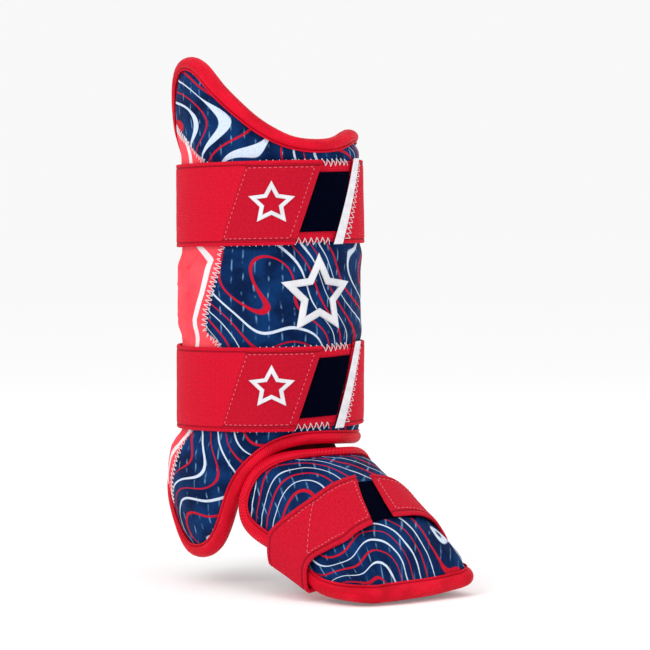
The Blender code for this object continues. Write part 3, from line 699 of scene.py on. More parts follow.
class Graph:
    """Builds a material's nodes by short calls. Lengths along the cloth are in millimetres."""

    def __init__(self, name, roughness, specular=0.12):
        self.material = bpy.data.materials.new(name)
        self.material.use_nodes = True
        self.tree = self.material.node_tree
        self.shader = self.tree.nodes["Principled BSDF"]
        self.shader.inputs["Roughness"].default_value = roughness
        self.shader.inputs["Specular IOR Level"].default_value = specular
        place = self.node("ShaderNodeUVMap")
        place.uv_map = "cloth"
        scaled = self.node("ShaderNodeVectorMath", operation="SCALE")
        self.link(place.outputs["UV"], scaled.inputs[0])
        scaled.inputs["Scale"].default_value = 1000
        self.place = scaled.outputs["Vector"]
        split = self.node("ShaderNodeSeparateXYZ")
        self.link(self.place, split.inputs[0])
        self.across, self.up = split.outputs[0], split.outputs[1]

    def node(self, kind, **settings):
        node = self.tree.nodes.new(kind)
        for name, value in settings.items():
            setattr(node, name, value)
        return node

    def link(self, source, socket):
        if hasattr(source, "default_value") and hasattr(source, "is_output"):
            self.tree.links.new(source, socket)
        else:
            socket.default_value = source

    def sum(self, operation, first, second=0.0, third=0.0, clamp=False):
        node = self.node("ShaderNodeMath", operation=operation, use_clamp=clamp)
        for value, socket in zip((first, second, third), node.inputs):
            self.link(value, socket)
        return node.outputs[0]

    def noise(self, size, detail=2.0, roughness=0.5, stretch=(1, 1), shift=(0, 0)):
        """Smooth noise from 0 to 1 with features of a size in millimetres."""
        mapped = self.node("ShaderNodeMapping")
        self.link(self.place, mapped.inputs["Vector"])
        mapped.inputs["Scale"].default_value = (1 / size / stretch[0], 1 / size / stretch[1], 1)
        mapped.inputs["Location"].default_value = (*shift, 0)
        node = self.node("ShaderNodeTexNoise", noise_dimensions="2D")
        self.link(mapped.outputs[0], node.inputs["Vector"])
        node.inputs["Scale"].default_value = 1
        node.inputs["Detail"].default_value = detail
        node.inputs["Roughness"].default_value = roughness
        return node.outputs[0]

    def wave(self, along, pitch, phase=0.0):
        """A sine from 0 to 1 with a pitch in millimetres."""
        turns = self.sum("MULTIPLY_ADD", along, 2 * math.pi / pitch, phase)
        return self.sum("MULTIPLY_ADD", self.sum("SINE", turns), 0.5, 0.5)

    def ramp(self, value, low, high):
        node = self.node("ShaderNodeMapRange", interpolation_type="SMOOTHSTEP", clamp=True)
        self.link(value, node.inputs["Value"])
        self.link(low, node.inputs["From Min"])
        self.link(high, node.inputs["From Max"])
        return node.outputs[0]

    def blend(self, share, first, second):
        node = self.node("ShaderNodeMix", data_type="RGBA")
        self.link(share, node.inputs[0])
        for value, socket in ((first, node.inputs[6]), (second, node.inputs[7])):
            self.link((*value, 1) if isinstance(value, tuple) else value, socket)
        return node.outputs[2]

    def scale_colour(self, colour, factor):
        node = self.node("ShaderNodeMix", data_type="RGBA", blend_type="MULTIPLY")
        node.inputs[0].default_value = 1
        self.link(colour, node.inputs[6])
        grey = self.node("ShaderNodeCombineColor")
        for socket in grey.inputs[:3]:
            self.link(factor, socket)
        self.link(grey.outputs[0], node.inputs[7])
        return node.outputs[2]

    def finish(self, colour, height=None, distance=0.1, strength=1.0):
        self.link(colour, self.shader.inputs["Base Color"])
        if height is not None:
            bump = self.node("ShaderNodeBump")
            bump.inputs["Strength"].default_value = strength
            bump.inputs["Distance"].default_value = distance * MM
            self.link(height, bump.inputs["Height"])
            self.link(bump.outputs[0], self.shader.inputs["Normal"])
        return self.material


def linear(red, green, blue):
    """A colour given as it looks on a screen, from 0 to 255."""
    def one(value):
        value /= 255
        return value / 12.92 if value < 0.04045 else ((value + 0.055) / 1.055) ** 2.4

    return one(red), one(green), one(blue)


def printed_cloth(name, lean, dash_lean, pitch, warp, shift):
    """Navy knit printed with flowing white and red waves and short pale dashes."""
    graph = Graph(name, roughness=0.62, specular=0.05)
    base = graph.blend(graph.ramp(graph.noise(16, 4), 0.3, 0.7), linear(2, 26, 66), linear(8, 50, 102))
    tilt = math.radians(lean)
    flow = graph.sum("MULTIPLY", graph.across, math.sin(tilt) / pitch)
    flow = graph.sum("MULTIPLY_ADD", graph.up, math.cos(tilt) / pitch, flow)
    flow = graph.sum("MULTIPLY_ADD", graph.noise(54, 0, shift=shift), warp, flow)
    flow = graph.sum("MULTIPLY_ADD", graph.noise(120, 0, shift=shift), 4.0, flow)
    turn = graph.sum("FRACT", flow)
    girth = graph.ramp(graph.noise(52, 0), 0.35, 0.68)
    swell = graph.ramp(graph.noise(81, 0), 0.70, 0.86)
    white_half = graph.sum("MULTIPLY_ADD", girth, 0.024, 0.016)
    white_half = graph.sum("MULTIPLY_ADD", swell, 0.10, white_half)
    red_half = graph.sum("MULTIPLY_ADD", girth, -0.024, 0.044)
    white = band_mask(graph, turn, 0.27, white_half)
    red = band_mask(graph, turn, 0.76, red_half)
    dash = dash_mask(graph, math.radians(dash_lean))
    colour = graph.blend(dash, base, linear(120, 170, 210))
    colour = graph.blend(red, colour, linear(196, 18, 42))
    colour = graph.blend(white, colour, linear(208, 222, 240))
    weave = graph.sum("MULTIPLY", graph.wave(graph.up, 0.85), graph.wave(graph.across, 1.1))
    fleck = graph.sum("MULTIPLY_ADD", graph.noise(0.9, 3, 0.6), 0.55, 0.66)
    shade = graph.sum("MULTIPLY_ADD", weave, 0.14, fleck)
    colour = graph.scale_colour(colour, shade)
    height = graph.sum("MULTIPLY_ADD", graph.noise(0.9, 2), 0.8, weave)
    height = graph.sum("MULTIPLY_ADD", dash, -1.5, height)
    return graph.finish(colour, height, distance=0.16)


def band_mask(graph, turn, middle, half):
    """1 inside a band of the print, with a soft edge."""
    off = graph.sum("ABSOLUTE", graph.sum("SUBTRACT", turn, middle))
    return graph.sum("SUBTRACT", 1.0, graph.ramp(off, half, graph.sum("ADD", half, 0.018)))


def dash_mask(graph, tilt):
    """Short dashes in staggered columns, some of them faint."""
    column_gap, row_gap = 7.8, 11.0
    side = graph.sum("MULTIPLY", graph.up, math.sin(tilt) / column_gap)
    side = graph.sum("MULTIPLY_ADD", graph.across, math.cos(tilt) / column_gap, side)
    rise = graph.sum("MULTIPLY", graph.across, -math.sin(tilt) / row_gap)
    rise = graph.sum("MULTIPLY_ADD", graph.up, math.cos(tilt) / row_gap, rise)
    side = graph.sum("MULTIPLY_ADD", graph.noise(19, 1), 0.5, side)
    column = graph.sum("FLOOR", side)
    rise = graph.sum("MULTIPLY_ADD", column, 0.5, rise)
    rise = graph.sum("MULTIPLY_ADD", graph.noise(15, 1), 1.1, rise)
    off = graph.sum("ABSOLUTE", graph.sum("SUBTRACT", graph.sum("FRACT", side), 0.5))
    end = graph.sum("ABSOLUTE", graph.sum("SUBTRACT", graph.sum("FRACT", rise), 0.5))
    thin = graph.sum("SUBTRACT", 1.0, graph.ramp(off, 0.020, 0.095))
    short = graph.sum("SUBTRACT", 1.0, graph.ramp(end, 0.14, 0.38))
    faint = graph.ramp(graph.noise(7, 2), 0.34, 0.66)
    return graph.sum("MULTIPLY", graph.sum("MULTIPLY", thin, short), graph.sum("MULTIPLY", faint, 0.70))


def knit_cloth(name, colour, deep, roughness=0.8):
    """Plain stretch knit: fine wales, a slight cloudiness."""
    graph = Graph(name, roughness)
    cloud = graph.ramp(graph.noise(20, 3), 0.25, 0.75)
    base = graph.blend(cloud, deep, colour)
    weave = graph.sum("MULTIPLY", graph.wave(graph.across, 0.7), graph.wave(graph.up, 0.55))
    shade = graph.sum("MULTIPLY_ADD", weave, 0.10, 0.93)
    height = graph.sum("MULTIPLY_ADD", graph.noise(0.8, 2), 0.6, weave)
    return graph.finish(graph.scale_colour(base, shade), height, distance=0.12)


def ribbed_tape(name):
    """Ribbed binding tape: fine ribs across its length."""
    graph = Graph(name, roughness=0.46, specular=0.07)
    slanted = graph.sum("MULTIPLY_ADD", graph.up, 0.35, graph.across)
    rib = graph.wave(slanted, BINDING_RIB)
    cloud = graph.ramp(graph.noise(9, 3, stretch=(2.5, 1)), 0.3, 0.7)
    base = graph.blend(cloud, linear(200, 6, 34), linear(224, 12, 44))
    shade = graph.sum("MULTIPLY_ADD", rib, 0.40, 0.76)
    # Painted shade: the seam mask darkens the tape along the groove between its lip and its roll, where shade
    # falls.
    off = graph.sum("ABSOLUTE", graph.sum("SUBTRACT", graph.up, 2.1))
    seam = graph.sum("SUBTRACT", 1.0, graph.ramp(off, 0.2, 0.8))
    shade = graph.sum("MULTIPLY_ADD", seam, -0.35, shade)
    height = graph.sum("MULTIPLY_ADD", graph.noise(0.6, 2), 0.35, rib)
    return graph.finish(graph.scale_colour(base, shade), height, distance=0.22)


def elastic(name, colour, deep, rib=1.25, hem=None):
    """Woven elastic: cords along the strap, crossed by fine picks, with a groove inside each edge that is darkened
    as painted shade.
    """
    graph = Graph(name, roughness=0.72, specular=0.10)
    cords = graph.wave(graph.up, rib)
    picks = graph.wave(graph.across, 1.6)
    weave = graph.sum("MULTIPLY", cords, picks)
    cloud = graph.ramp(graph.noise(1.6, 4, 0.6), 0.2, 0.8)
    base = graph.blend(cloud, deep, colour)
    fleck = graph.sum("MULTIPLY_ADD", graph.noise(0.8, 2), 0.22, 0.78)
    shade = graph.sum("MULTIPLY_ADD", weave, 0.30, fleck)
    height = graph.sum("MULTIPLY_ADD", graph.noise(0.6, 2), 0.6, weave)
    if hem:
        off = graph.sum("ABSOLUTE", graph.sum("SUBTRACT", graph.sum("ABSOLUTE", graph.up), hem))
        groove = graph.sum("SUBTRACT", 1.0, graph.ramp(off, 0.15, 0.75))
        # Painted shade: the elastic is darkened along the groove inside each edge, where shade falls.
        shade = graph.sum("MULTIPLY_ADD", groove, -0.34, shade)
        height = graph.sum("MULTIPLY_ADD", groove, -2.5, height)
    return graph.finish(graph.scale_colour(base, shade), height, distance=0.20)


def loop_pile(name):
    """Dark napped loops that catch the light in specks."""
    graph = Graph(name, roughness=1.0, specular=0.02)
    speck = graph.ramp(graph.noise(0.45, 3, 0.7), 0.50, 0.80)
    patch = graph.ramp(graph.noise(7, 3), 0.35, 0.75)
    speck = graph.sum("MULTIPLY", speck, graph.sum("MULTIPLY_ADD", patch, 0.6, 0.25))
    colour = graph.blend(speck, linear(1, 3, 18), linear(12, 18, 54))
    return graph.finish(colour, graph.noise(0.5, 3, 0.7), distance=0.5)


def tape(name):
    """Fine ribbed white tape."""
    graph = Graph(name, roughness=0.5, specular=0.3)
    rib = graph.wave(graph.up, 0.7)
    shade = graph.sum("MULTIPLY_ADD", rib, 0.07, 0.93)
    base = graph.blend(graph.ramp(graph.noise(6, 2), 0.3, 0.7), linear(226, 226, 232), linear(240, 240, 244))
    return graph.finish(graph.scale_colour(base, shade), rib, distance=0.12)


def moulded(name):
    """Soft white moulded rubber with a fine satin grain."""
    graph = Graph(name, roughness=0.38, specular=0.5)
    grain = graph.noise(0.35, 3)
    base = graph.blend(graph.ramp(graph.noise(14, 2), 0.3, 0.7), linear(208, 209, 214), linear(222, 223, 228))
    return graph.finish(base, grain, distance=0.03)


def thread_material(name, colour, deep):
    """Twisted thread."""
    graph = Graph(name, roughness=0.5, specular=0.3)
    twist = graph.wave(graph.sum("ADD", graph.across, graph.up), 0.5)
    return graph.finish(graph.blend(twist, deep, colour), twist, distance=0.05)


def make_materials():
    red, deep_red = linear(214, 14, 46), linear(198, 8, 38)
    half = STRAP_WIDTH / 2 / MM
    return {
        "shin_print": printed_cloth("shin_print", lean=62, dash_lean=0, pitch=24, warp=3.8, shift=(3.3, 1.2)),
        "foot_print": printed_cloth("foot_print", lean=-40, dash_lean=38, pitch=18, warp=4.5, shift=(1.4, 2.7)),
        "coral": knit_cloth("coral_knit", linear(255, 84, 96), linear(246, 66, 82)),
        "stripe": knit_cloth("white_stripe", linear(240, 238, 240), linear(232, 228, 232), 0.6),
        "lining": knit_cloth("navy_lining", linear(16, 30, 60), linear(9, 18, 40)),
        # Gusset colour: dark red knit, darkened further as painted shadow for the gap between the shin and foot
        # bindings.
        "dark": knit_cloth("gusset_dark_and_shadow", linear(110, 8, 24), linear(70, 4, 14)),
        "binding": ribbed_tape("red_binding"),
        "elastic": elastic("red_elastic", red, deep_red, hem=half - 2.6),
        "tab": elastic("red_tab", linear(198, 13, 43), linear(180, 8, 35), rib=1.05, hem=half - 3.4),
        "foot_elastic": elastic("red_foot_elastic", linear(206, 15, 45), linear(188, 9, 36), rib=1.05, hem=12.4),
        "pile": loop_pile("navy_pile"),
        "tape": tape("white_tape"),
        "moulded": moulded("white_moulded"),
        "white_thread": thread_material("white_thread", linear(245, 242, 245), linear(205, 200, 210)),
        "pink_thread": thread_material("pink_thread", linear(243, 130, 146), linear(218, 84, 104)),
    }


# The shin: shell, panel and binding
def shin_runs():
    sides = sides_of(GUARD_OUTLINE, leg_place)
    seam = Run(smooth_run([leg_place(*row) for row in PANEL_SEAM], closed=False))
    loop = [sides[name].points[:-1] for name in ("panel_low", "medial_low", "medial_high", "panel_high")]
    loop = np.concatenate(loop + [sides["panel_low"].points[:1]])
    return sides, seam, Run(loop)


def ripple(places, size):
    """A gentle unevenness of padded cloth, from -1 to 1."""
    across, up = places[..., 0] / size, places[..., 1] / size
    first = np.sin(6.28 * (across + 0.35 * np.sin(4.1 * up + 1.0)))
    second = np.sin(6.28 * (0.83 * up + 0.30 * np.sin(5.2 * across + 2.0)))
    return 0.6 * first * second + 0.4 * np.sin(6.28 * (0.47 * across - 0.61 * up) + 0.7)


def padding(places, edge, seam_distance):
    """How far the padded shell's face stands off its surface."""
    swell = 0.22 * MM * ripple(places, 26 * MM)
    for middle in (UPPER_STRAP_HEIGHT, LOWER_STRAP_HEIGHT):
        beyond = np.abs(places[..., 1] - middle) - STRAP_WIDTH / 2
        swell = swell + 0.9 * MM * bell(beyond - 6 * MM, 5 * MM)
        swell = swell - 0.25 * MM * ease(1 - beyond / (2 * MM))
    pucker = 0.16 * MM * np.sin(places[..., 0] / MM * 1.1 + places[..., 1] / MM * 0.9)
    swell = swell + pucker * bell(edge, 6 * MM)
    tuck = 1.3 * MM * (1 - ease(edge / (6 * MM)))
    seam_tuck = 0.9 * MM * (1 - ease(seam_distance / (4 * MM)))
    return swell - tuck - seam_tuck


def make_shell(materials, sides, seam, loop):
    grid = patch_between(
        seam, sides["medial_low"], sides["panel_low"], sides["medial_high"].reversed(), 190, 210
    )
    edge = distance_to(grid, loop)
    off = padding(grid, edge, distance_to(grid, seam))
    shell = thick_cloth(
        "padded_shell", on_leg(grid, off), on_leg(grid, -SHELL_WALL + 0 * off), grid,
        [materials["shin_print"], materials["lining"]],
    )
    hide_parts("shin_shell")


# Small creases of the panel: degrees, share of GUARD_HEIGHT, half length and depth.
CreaseRow = namedtuple("CreaseRow", "angle height lean half_mm depth_mm")
PANEL_CREASES = (
    CreaseRow(-98, 0.545, 0.15, 4, 2.2),
    CreaseRow(-96, 0.598, 0.25, 3, 2.2),
    CreaseRow(-100, 0.500, -0.30, 4, 1.6),
    CreaseRow(-104, 0.515, -0.20, 8, 0.5),
    CreaseRow(-118, 0.560, 0.10, 11, 0.6),
    CreaseRow(-128, 0.500, -0.15, 9, 0.6),
    CreaseRow(-112, 0.455, 0.05, 12, 0.5),
    CreaseRow(-120, 0.300, 0.30, 10, 0.6),
    CreaseRow(-110, 0.635, -0.10, 12, 0.5),
)


def panel_relief(places):
    relief = 0.25 * MM * ripple(places, 34 * MM)
    for crease in PANEL_CREASES:
        middle = leg_place(crease.angle, crease.height)
        across = places[..., 0] - middle[0]
        up = places[..., 1] - middle[1] - crease.lean * across
        dip = bell(up, 0.9 * MM) - 0.6 * bell(up - 1.6 * MM, 1.1 * MM)
        relief = relief - crease.depth_mm * MM * dip * bell(across, crease.half_mm * MM)
    return relief


def make_panel(materials, sides, seam):
    rows, columns = 200, 50
    rear = sides["panel_high"].reversed()
    up = np.clip(np.linspace(0, 1, rows), 0.002, 0.998)
    over = np.linspace(0, 1, columns)[None, :, None]
    grid = mix(rear.at(up)[:, None], seam.beside(up, -PANEL_TUCK)[:, None], over)
    edge = np.minimum(distance_to(grid, rear), distance_to(grid, seam))
    off = panel_relief(grid) * ease(edge / (4 * MM)) - PANEL_SET_BACK
    outer, inner = on_leg(grid, off), on_leg(grid, off - PANEL_WALL)
    panel = thick_cloth("stretch_panel", outer, inner, grid, [materials["coral"], materials["lining"]])
    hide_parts("side_panel")
    cloth_area(outer, inner)
    for name, rows_of in (("high", HIGH_STRIPE), ("low", LOW_STRIPE)):
        stripe_line(f"panel_stripe_{name}", rows_of, materials["stripe"])


def stripe_line(name, rows, material):
    """A pressed stripe with sharp bends, just proud of the panel."""
    half = 2.1 * MM
    corners = [leg_place(row.angle, row.height) for row in rows]
    points = []
    for start, end in zip(corners, corners[1:]):
        points += [mix(start, end, share) for share in np.linspace(0, 1, 12, endpoint=False)]
    points.append(corners[-1])
    run = Run(np.array(points))
    shares = np.linspace(0, 1, len(points) * 2)
    grid = np.stack([run.beside(shares, side) for side in np.linspace(half, -half, 7)], 1)
    off = panel_relief(grid) - PANEL_SET_BACK + 0.12 * MM
    off[:, [0, -1]] -= 0.1 * MM
    stripe = thick_cloth(name, on_leg(grid, off), on_leg(grid, off - 0.25 * MM), grid, [material])


def cloth_area(outer, inner):
    """The area of a sheet's middle, between its two faces."""
    middle = (outer + inner) / 2
    ahead, beside = np.diff(middle, axis=0)[:, :-1], np.diff(middle, axis=1)[:-1]
    return float(np.linalg.norm(np.cross(ahead, beside), axis=-1).sum())


def as_sheet(piece, outer, inner, width, held, rests_on, pieces=()):
    """Works out a straight strip of cloth's length from its area and its width; the length is not used."""
    length = cloth_area(outer, inner) / width


def averaged(values):
    """Values round a closed loop, each averaged with its neighbours."""
    return sum(np.roll(values, step, 0) for step in range(-4, 5)) / 9


def evened(directions):
    """Unit directions round a closed loop, turning evenly."""
    directions = averaged(directions / np.linalg.norm(directions, axis=1, keepdims=True))
    return directions / np.linalg.norm(directions, axis=1, keepdims=True)


def make_binding(name, node, loop, surface, wall, width, count, materials):
    """Ribbed tape rolled over a closed edge, with a flat lip sewn to the face."""
    shares = np.arange(count) / count
    middle = -wall / 2
    half_depth = wall / 2 + BINDING_PROUD * 0.35
    edge = averaged(surface(loop.at(shares), middle))
    outside = averaged(surface(loop.at(shares), 0))
    ahead = np.roll(edge, -1, 0) - np.roll(edge, 1, 0)
    ahead /= np.linalg.norm(ahead, axis=1, keepdims=True)
    out = evened(outside - edge)
    beyond = evened(np.cross(ahead, out))
    across = np.array([row.across for row in BINDING_ROLL]) * width + BINDING_GAP
    depth = np.array([row.depth for row in BINDING_ROLL]) * half_depth
    length = np.linspace(0, 1, count + 1) * loop.length
    uneven = 0.18 * MM * np.sin(length[:-1] / (7 * MM)) * np.sin(length[:-1] / (23 * MM) + 1)
    rolled = np.clip(across / width, 0, 1)
    points = edge[:, None] + beyond[:, None] * (across[None] + uneven[:, None] * rolled)[..., None]
    points = points + out[:, None] * (depth[None] + 0.6 * uneven[:, None] * rolled)[..., None]
    sides = len(BINDING_ROLL)
    numbers = np.arange(count * sides).reshape(count, sides)
    numbers = np.concatenate([numbers, numbers[:1]])
    numbers = np.concatenate([numbers, numbers[:, :1]], 1)
    steps = np.hypot(np.diff(across, append=across[0]), np.diff(depth, append=depth[0]))
    girth = np.concatenate([[0], np.cumsum(steps)])
    ribs = round(loop.length / (BINDING_RIB * MM))
    along = np.linspace(0, ribs * BINDING_RIB * MM, count + 1)
    places = np.stack(np.broadcast_arrays(along[:, None], girth[None]), -1)
    obj = add_piece(name, points, [Patch(numbers, places)], [materials["binding"]])
    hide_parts(node)
    return obj


# Straps
def slanted(angle, height, middle):
    """An angle moved with height, as the straps' cut ends slant."""
    return angle + SLANT_ANGLE * (height - middle) / STRAP_WIDTH


def middle_line(middle, angle):
    """The height of a strap's middle line, for the strap at that height."""
    column = "upper_mm" if middle > SEAT_HEIGHT else "lower_mm"
    return middle + RISE.read(column, angle) * MM


def strap_lift(angle):
    return LIFT.read("lift_mm", angle) * MM


def edge_stations(width, inner_count):
    """Shares of a width, dense near both edges."""
    near = np.array([0, 0.12, 0.3, 0.6, 1.0, 1.6, 2.1, 2.5, 2.9, 3.3, 3.9, 4.8]) * MM / width
    middle = np.linspace(6.0 * MM / width, 1 - 6.0 * MM / width, inner_count)
    return np.concatenate([near, middle, 1 - near[::-1]])


def rounded(distance, radius):
    """The share of a thickness left near a rounded edge."""
    inside = np.clip(1 - distance / radius, 0, 1)
    return np.sqrt(1 - inside**2)


def strip_places(middle, width, start, end, stations, columns, lean=0.0):
    """A grid of places round the leg, its unslanted angles and its distances from the strip's edges."""
    share = stations[:, None]
    along = columns[None]
    level = mix(start, end, along)
    line = middle_line(middle, level)
    height = line + width * (share - 0.5)
    angle = slanted(level, height, line) + lean * (share - 0.5)
    places = np.stack(np.broadcast_arrays(np.radians(angle) * SHELL_RADIUS, height), -1)
    side = np.minimum(share, 1 - share) * width
    run = abs(end - start) * math.radians(1) * SHELL_RADIUS
    tip = np.minimum(along, 1 - along) * run
    return places, np.broadcast_to(level, places.shape[:2]), side + 0 * along, tip + 0 * share


def end_stations(length, count):
    near = np.array([0, 0.12, 0.3, 0.6, 1.0]) * MM / length
    return np.concatenate([near, np.linspace(1.6 * MM / length, 1 - 1.6 * MM / length, count), 1 - near[::-1]])


def strip_piece(
    name, node, middle, width, start, end, lift_of, thick, materials, columns, held,
    relief=None, lean=0.0,
):
    """A strip round the leg with rounded edges, cut on a slant at both ends."""
    length = math.radians(abs(end - start)) * SHELL_RADIUS
    stations = edge_stations(width, 22)
    places, level, side, tip = strip_places(
        middle, width, start, end, stations, end_stations(length, columns), lean
    )
    lift = lift_of(level) if callable(lift_of) else lift_of
    full = rounded(side, 0.9 * MM) * rounded(tip, 0.9 * MM)
    top = thick * mix(0.45, 1.0, full)
    if relief:
        top = top + relief(places, level, side, tip)
    bottom = thick * mix(0.45, 0.0, full)
    outer, inner = on_leg(places, lift + top), on_leg(places, lift + bottom)
    cloth = np.stack([places[..., 0], places[..., 1] - middle_line(middle, level)], -1)
    piece = thick_cloth(name, outer, inner, cloth, materials)
    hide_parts(node)
    if held:
        as_sheet(piece, outer, inner, width, *held)
    return piece


def hem(places, level, side, tip):
    """The groove of a woven edge, and a faint waviness."""
    groove = -0.32 * MM * bell(side - 2.6 * MM, 0.45 * MM)
    return groove + 0.10 * MM * ripple(places, 18 * MM)


def make_strap(prefix, middle, materials):
    """One closing strap with the pieces that it fastens on, and their stitches."""
    far_end = TAB_ANGLE - (360 - (ANCHOR_ANGLE - TAB_ANGLE))
    pad_lift = GAP + BASE_THICK + GAP
    label_half = math.degrees(LABEL_WIDTH / 2 / SHELL_RADIUS)
    end_gap = math.degrees(GAP / SHELL_RADIUS)
    strap = strip_piece(
        f"{prefix}_closing_strap", f"{prefix}_strap", middle, STRAP_WIDTH,
        far_end, TAB_ANGLE, strap_lift, STRAP_THICK, [materials["elastic"]], 330,
        ("stretched", ["padded_shell"]), hem,
    )
    base = strip_piece(
        f"{prefix}_sewn_base", f"{prefix}_strap_base", middle, BASE_WIDTH,
        TAB_ANGLE - 12, ANCHOR_ANGLE - 2 * end_gap, GAP, BASE_THICK, [materials["elastic"]], 40,
        ("laid", ["padded_shell"]),
    )
    pad = strip_piece(
        f"{prefix}_pile_pad", f"{prefix}_loop_pad", middle, LOOP_PAD_WIDTH,
        TAB_ANGLE - 9, ANCHOR_ANGLE - label_half + 0.8, pad_lift, LOOP_PAD_THICK,
        [materials["pile"]], 70, ("laid", [f"{prefix}_sewn_base"]), nap,
    )
    label_lift = strap_lift(far_end) + STRAP_THICK + GAP
    label_angle = ANCHOR_ANGLE + (1.0 if prefix == "upper" else 2.6)
    label = strip_piece(
        f"{prefix}_bare_label", f"{prefix}_label", middle, STRAP_WIDTH + 1 * MM,
        label_angle - label_half, label_angle + label_half, label_lift, LABEL_THICK,
        [materials["tape"]], 10, None, lean=2.4,
    )
    make_tab(prefix, middle, materials)
    sew_strap(prefix, middle, materials)
    star(
        f"{prefix}_flat_star", f"{prefix}_strap_badge", STRAP_BADGE_ANGLE, middle, STRAP_BADGE_SIZE,
        strap_lift, STRAP_THICK + GAP, STRAP_BADGE_THICK, 0.5 * MM, materials["moulded"],
    )
    return strap, label


def nap(places, level, side, tip):
    """The uneven top of a pile of loops."""
    random = np.random.default_rng(11)
    return random.uniform(-0.12, 0.12, places.shape[:2]) * MM + 0.12 * MM * ripple(places, 7 * MM)


TAB_REACH_ANGLE = 45.0


def make_tab(prefix, middle, materials):
    """The hook tape's cover, sewn on the strap's closing end."""
    inset = 2.2 * MM
    start = TAB_ANGLE - TAB_REACH_ANGLE
    end = TAB_ANGLE - math.degrees(0.9 * MM / SHELL_RADIUS)
    width = STRAP_WIDTH - 2 * inset
    stations = edge_stations(width, 16)
    length = math.radians(end - start) * SHELL_RADIUS
    places, level, side, tip = strip_places(middle, width, start, end, stations, end_stations(length, 60))
    full = rounded(side, 0.5 * MM) * rounded(tip, 0.5 * MM)
    lift = strap_lift(level) + STRAP_THICK - 0.35 * MM
    top = 0.35 * MM + 0.22 * MM * full - 0.16 * MM * bell(side - 2.2 * MM, 0.5 * MM)
    outer, inner = on_leg(places, lift + top), on_leg(places, lift + 0 * top)
    cloth = np.stack([places[..., 0], places[..., 1] - middle_line(middle, level)], -1)
    piece = thick_cloth(f"{prefix}_tab_cover", outer, inner, cloth, [materials["tab"]])
    as_sheet(piece, outer, inner, width, "laid", [f"{prefix}_closing_strap"])


def slanted_line(middle, start, end, steps=40):
    """A line on the leg between two unslanted angles with heights off the strap's middle."""
    share = np.linspace(0, 1, steps)
    level = mix(start[0], end[0], share)
    line = middle_line(middle, level)
    height = line + mix(start[1], end[1], share)
    angle = slanted(level, height, line)
    return Run(np.stack([np.radians(angle) * SHELL_RADIUS, height], -1))


def sew_strap(prefix, middle, materials):
    """Straight stitches round the tab, and zigzags over the base's edges and the fixed end."""
    inset = 4.4 * MM
    top = STRAP_WIDTH / 2 - inset
    left, right = TAB_ANGLE - TAB_REACH_ANGLE + 1.5, TAB_ANGLE - 4.5
    corners = ((left, -top), (left, top), (right, top), (right, -top), (left, -top))
    lines = []
    for start, end in zip(corners, corners[1:]):
        run = slanted_line(middle, start, end)
        stitches = dashes(run, 2.9 * MM, 2.0 * MM, 0.0)
        lines += [(places, proud + tab_face(places, middle), girth) for places, proud, girth in stitches]
    threads(f"{prefix}_tab_stitches", lines, on_leg, 0.24 * MM, materials["pink_thread"])
    half = BASE_WIDTH / 2
    base_face = GAP + BASE_THICK + 0.15 * MM
    edges = []
    for side in (1, -1):
        run = slanted_line(middle, (-52, side * (half - 0.6 * MM)), (ANCHOR_ANGLE - 5.5, side * (half - 0.6 * MM)))
        edges += zigzag(run, 4.0 * MM, 4.8 * MM, lambda places: base_edge(places, middle, base_face))
    threads(f"{prefix}_base_zigzag", edges, on_leg, 0.24 * MM, materials["white_thread"])
    face = strap_lift(ANCHOR_ANGLE - 360) + STRAP_THICK + 0.12 * MM
    run = slanted_line(middle, (ANCHOR_ANGLE + 9.0, half - 1 * MM), (ANCHOR_ANGLE + 8.0, 1 * MM - half))
    lines = zigzag(run, 3.2 * MM, 5.2 * MM, face)
    threads(f"{prefix}_anchor_zigzag", lines, on_leg, 0.24 * MM, materials["white_thread"])


def tab_face(places, middle):
    angle = np.degrees(places[:, 0] / SHELL_RADIUS)
    level = 2 * angle - slanted(angle, places[:, 1], middle)
    return strap_lift(level) + STRAP_THICK + 0.22 * MM


def base_edge(places, middle, face):
    """Stitches climb from the shell over the base's edge."""
    angle = np.degrees(places[:, 0] / SHELL_RADIUS)
    beyond = np.abs(places[:, 1] - middle_line(middle, angle)) - BASE_WIDTH / 2
    return mix(face, 0.75 * MM, ease(0.5 + beyond / (1.6 * MM)))


# Badges
StarRow = namedtuple("StarRow", "inset height")
STAR_PROFILE = (StarRow(0.0, 0.0), StarRow(0.0, 0.62), StarRow(0.22, 1.0), StarRow(0.78, 1.0), StarRow(1.0, 0.62), StarRow(1.0, 0.0))


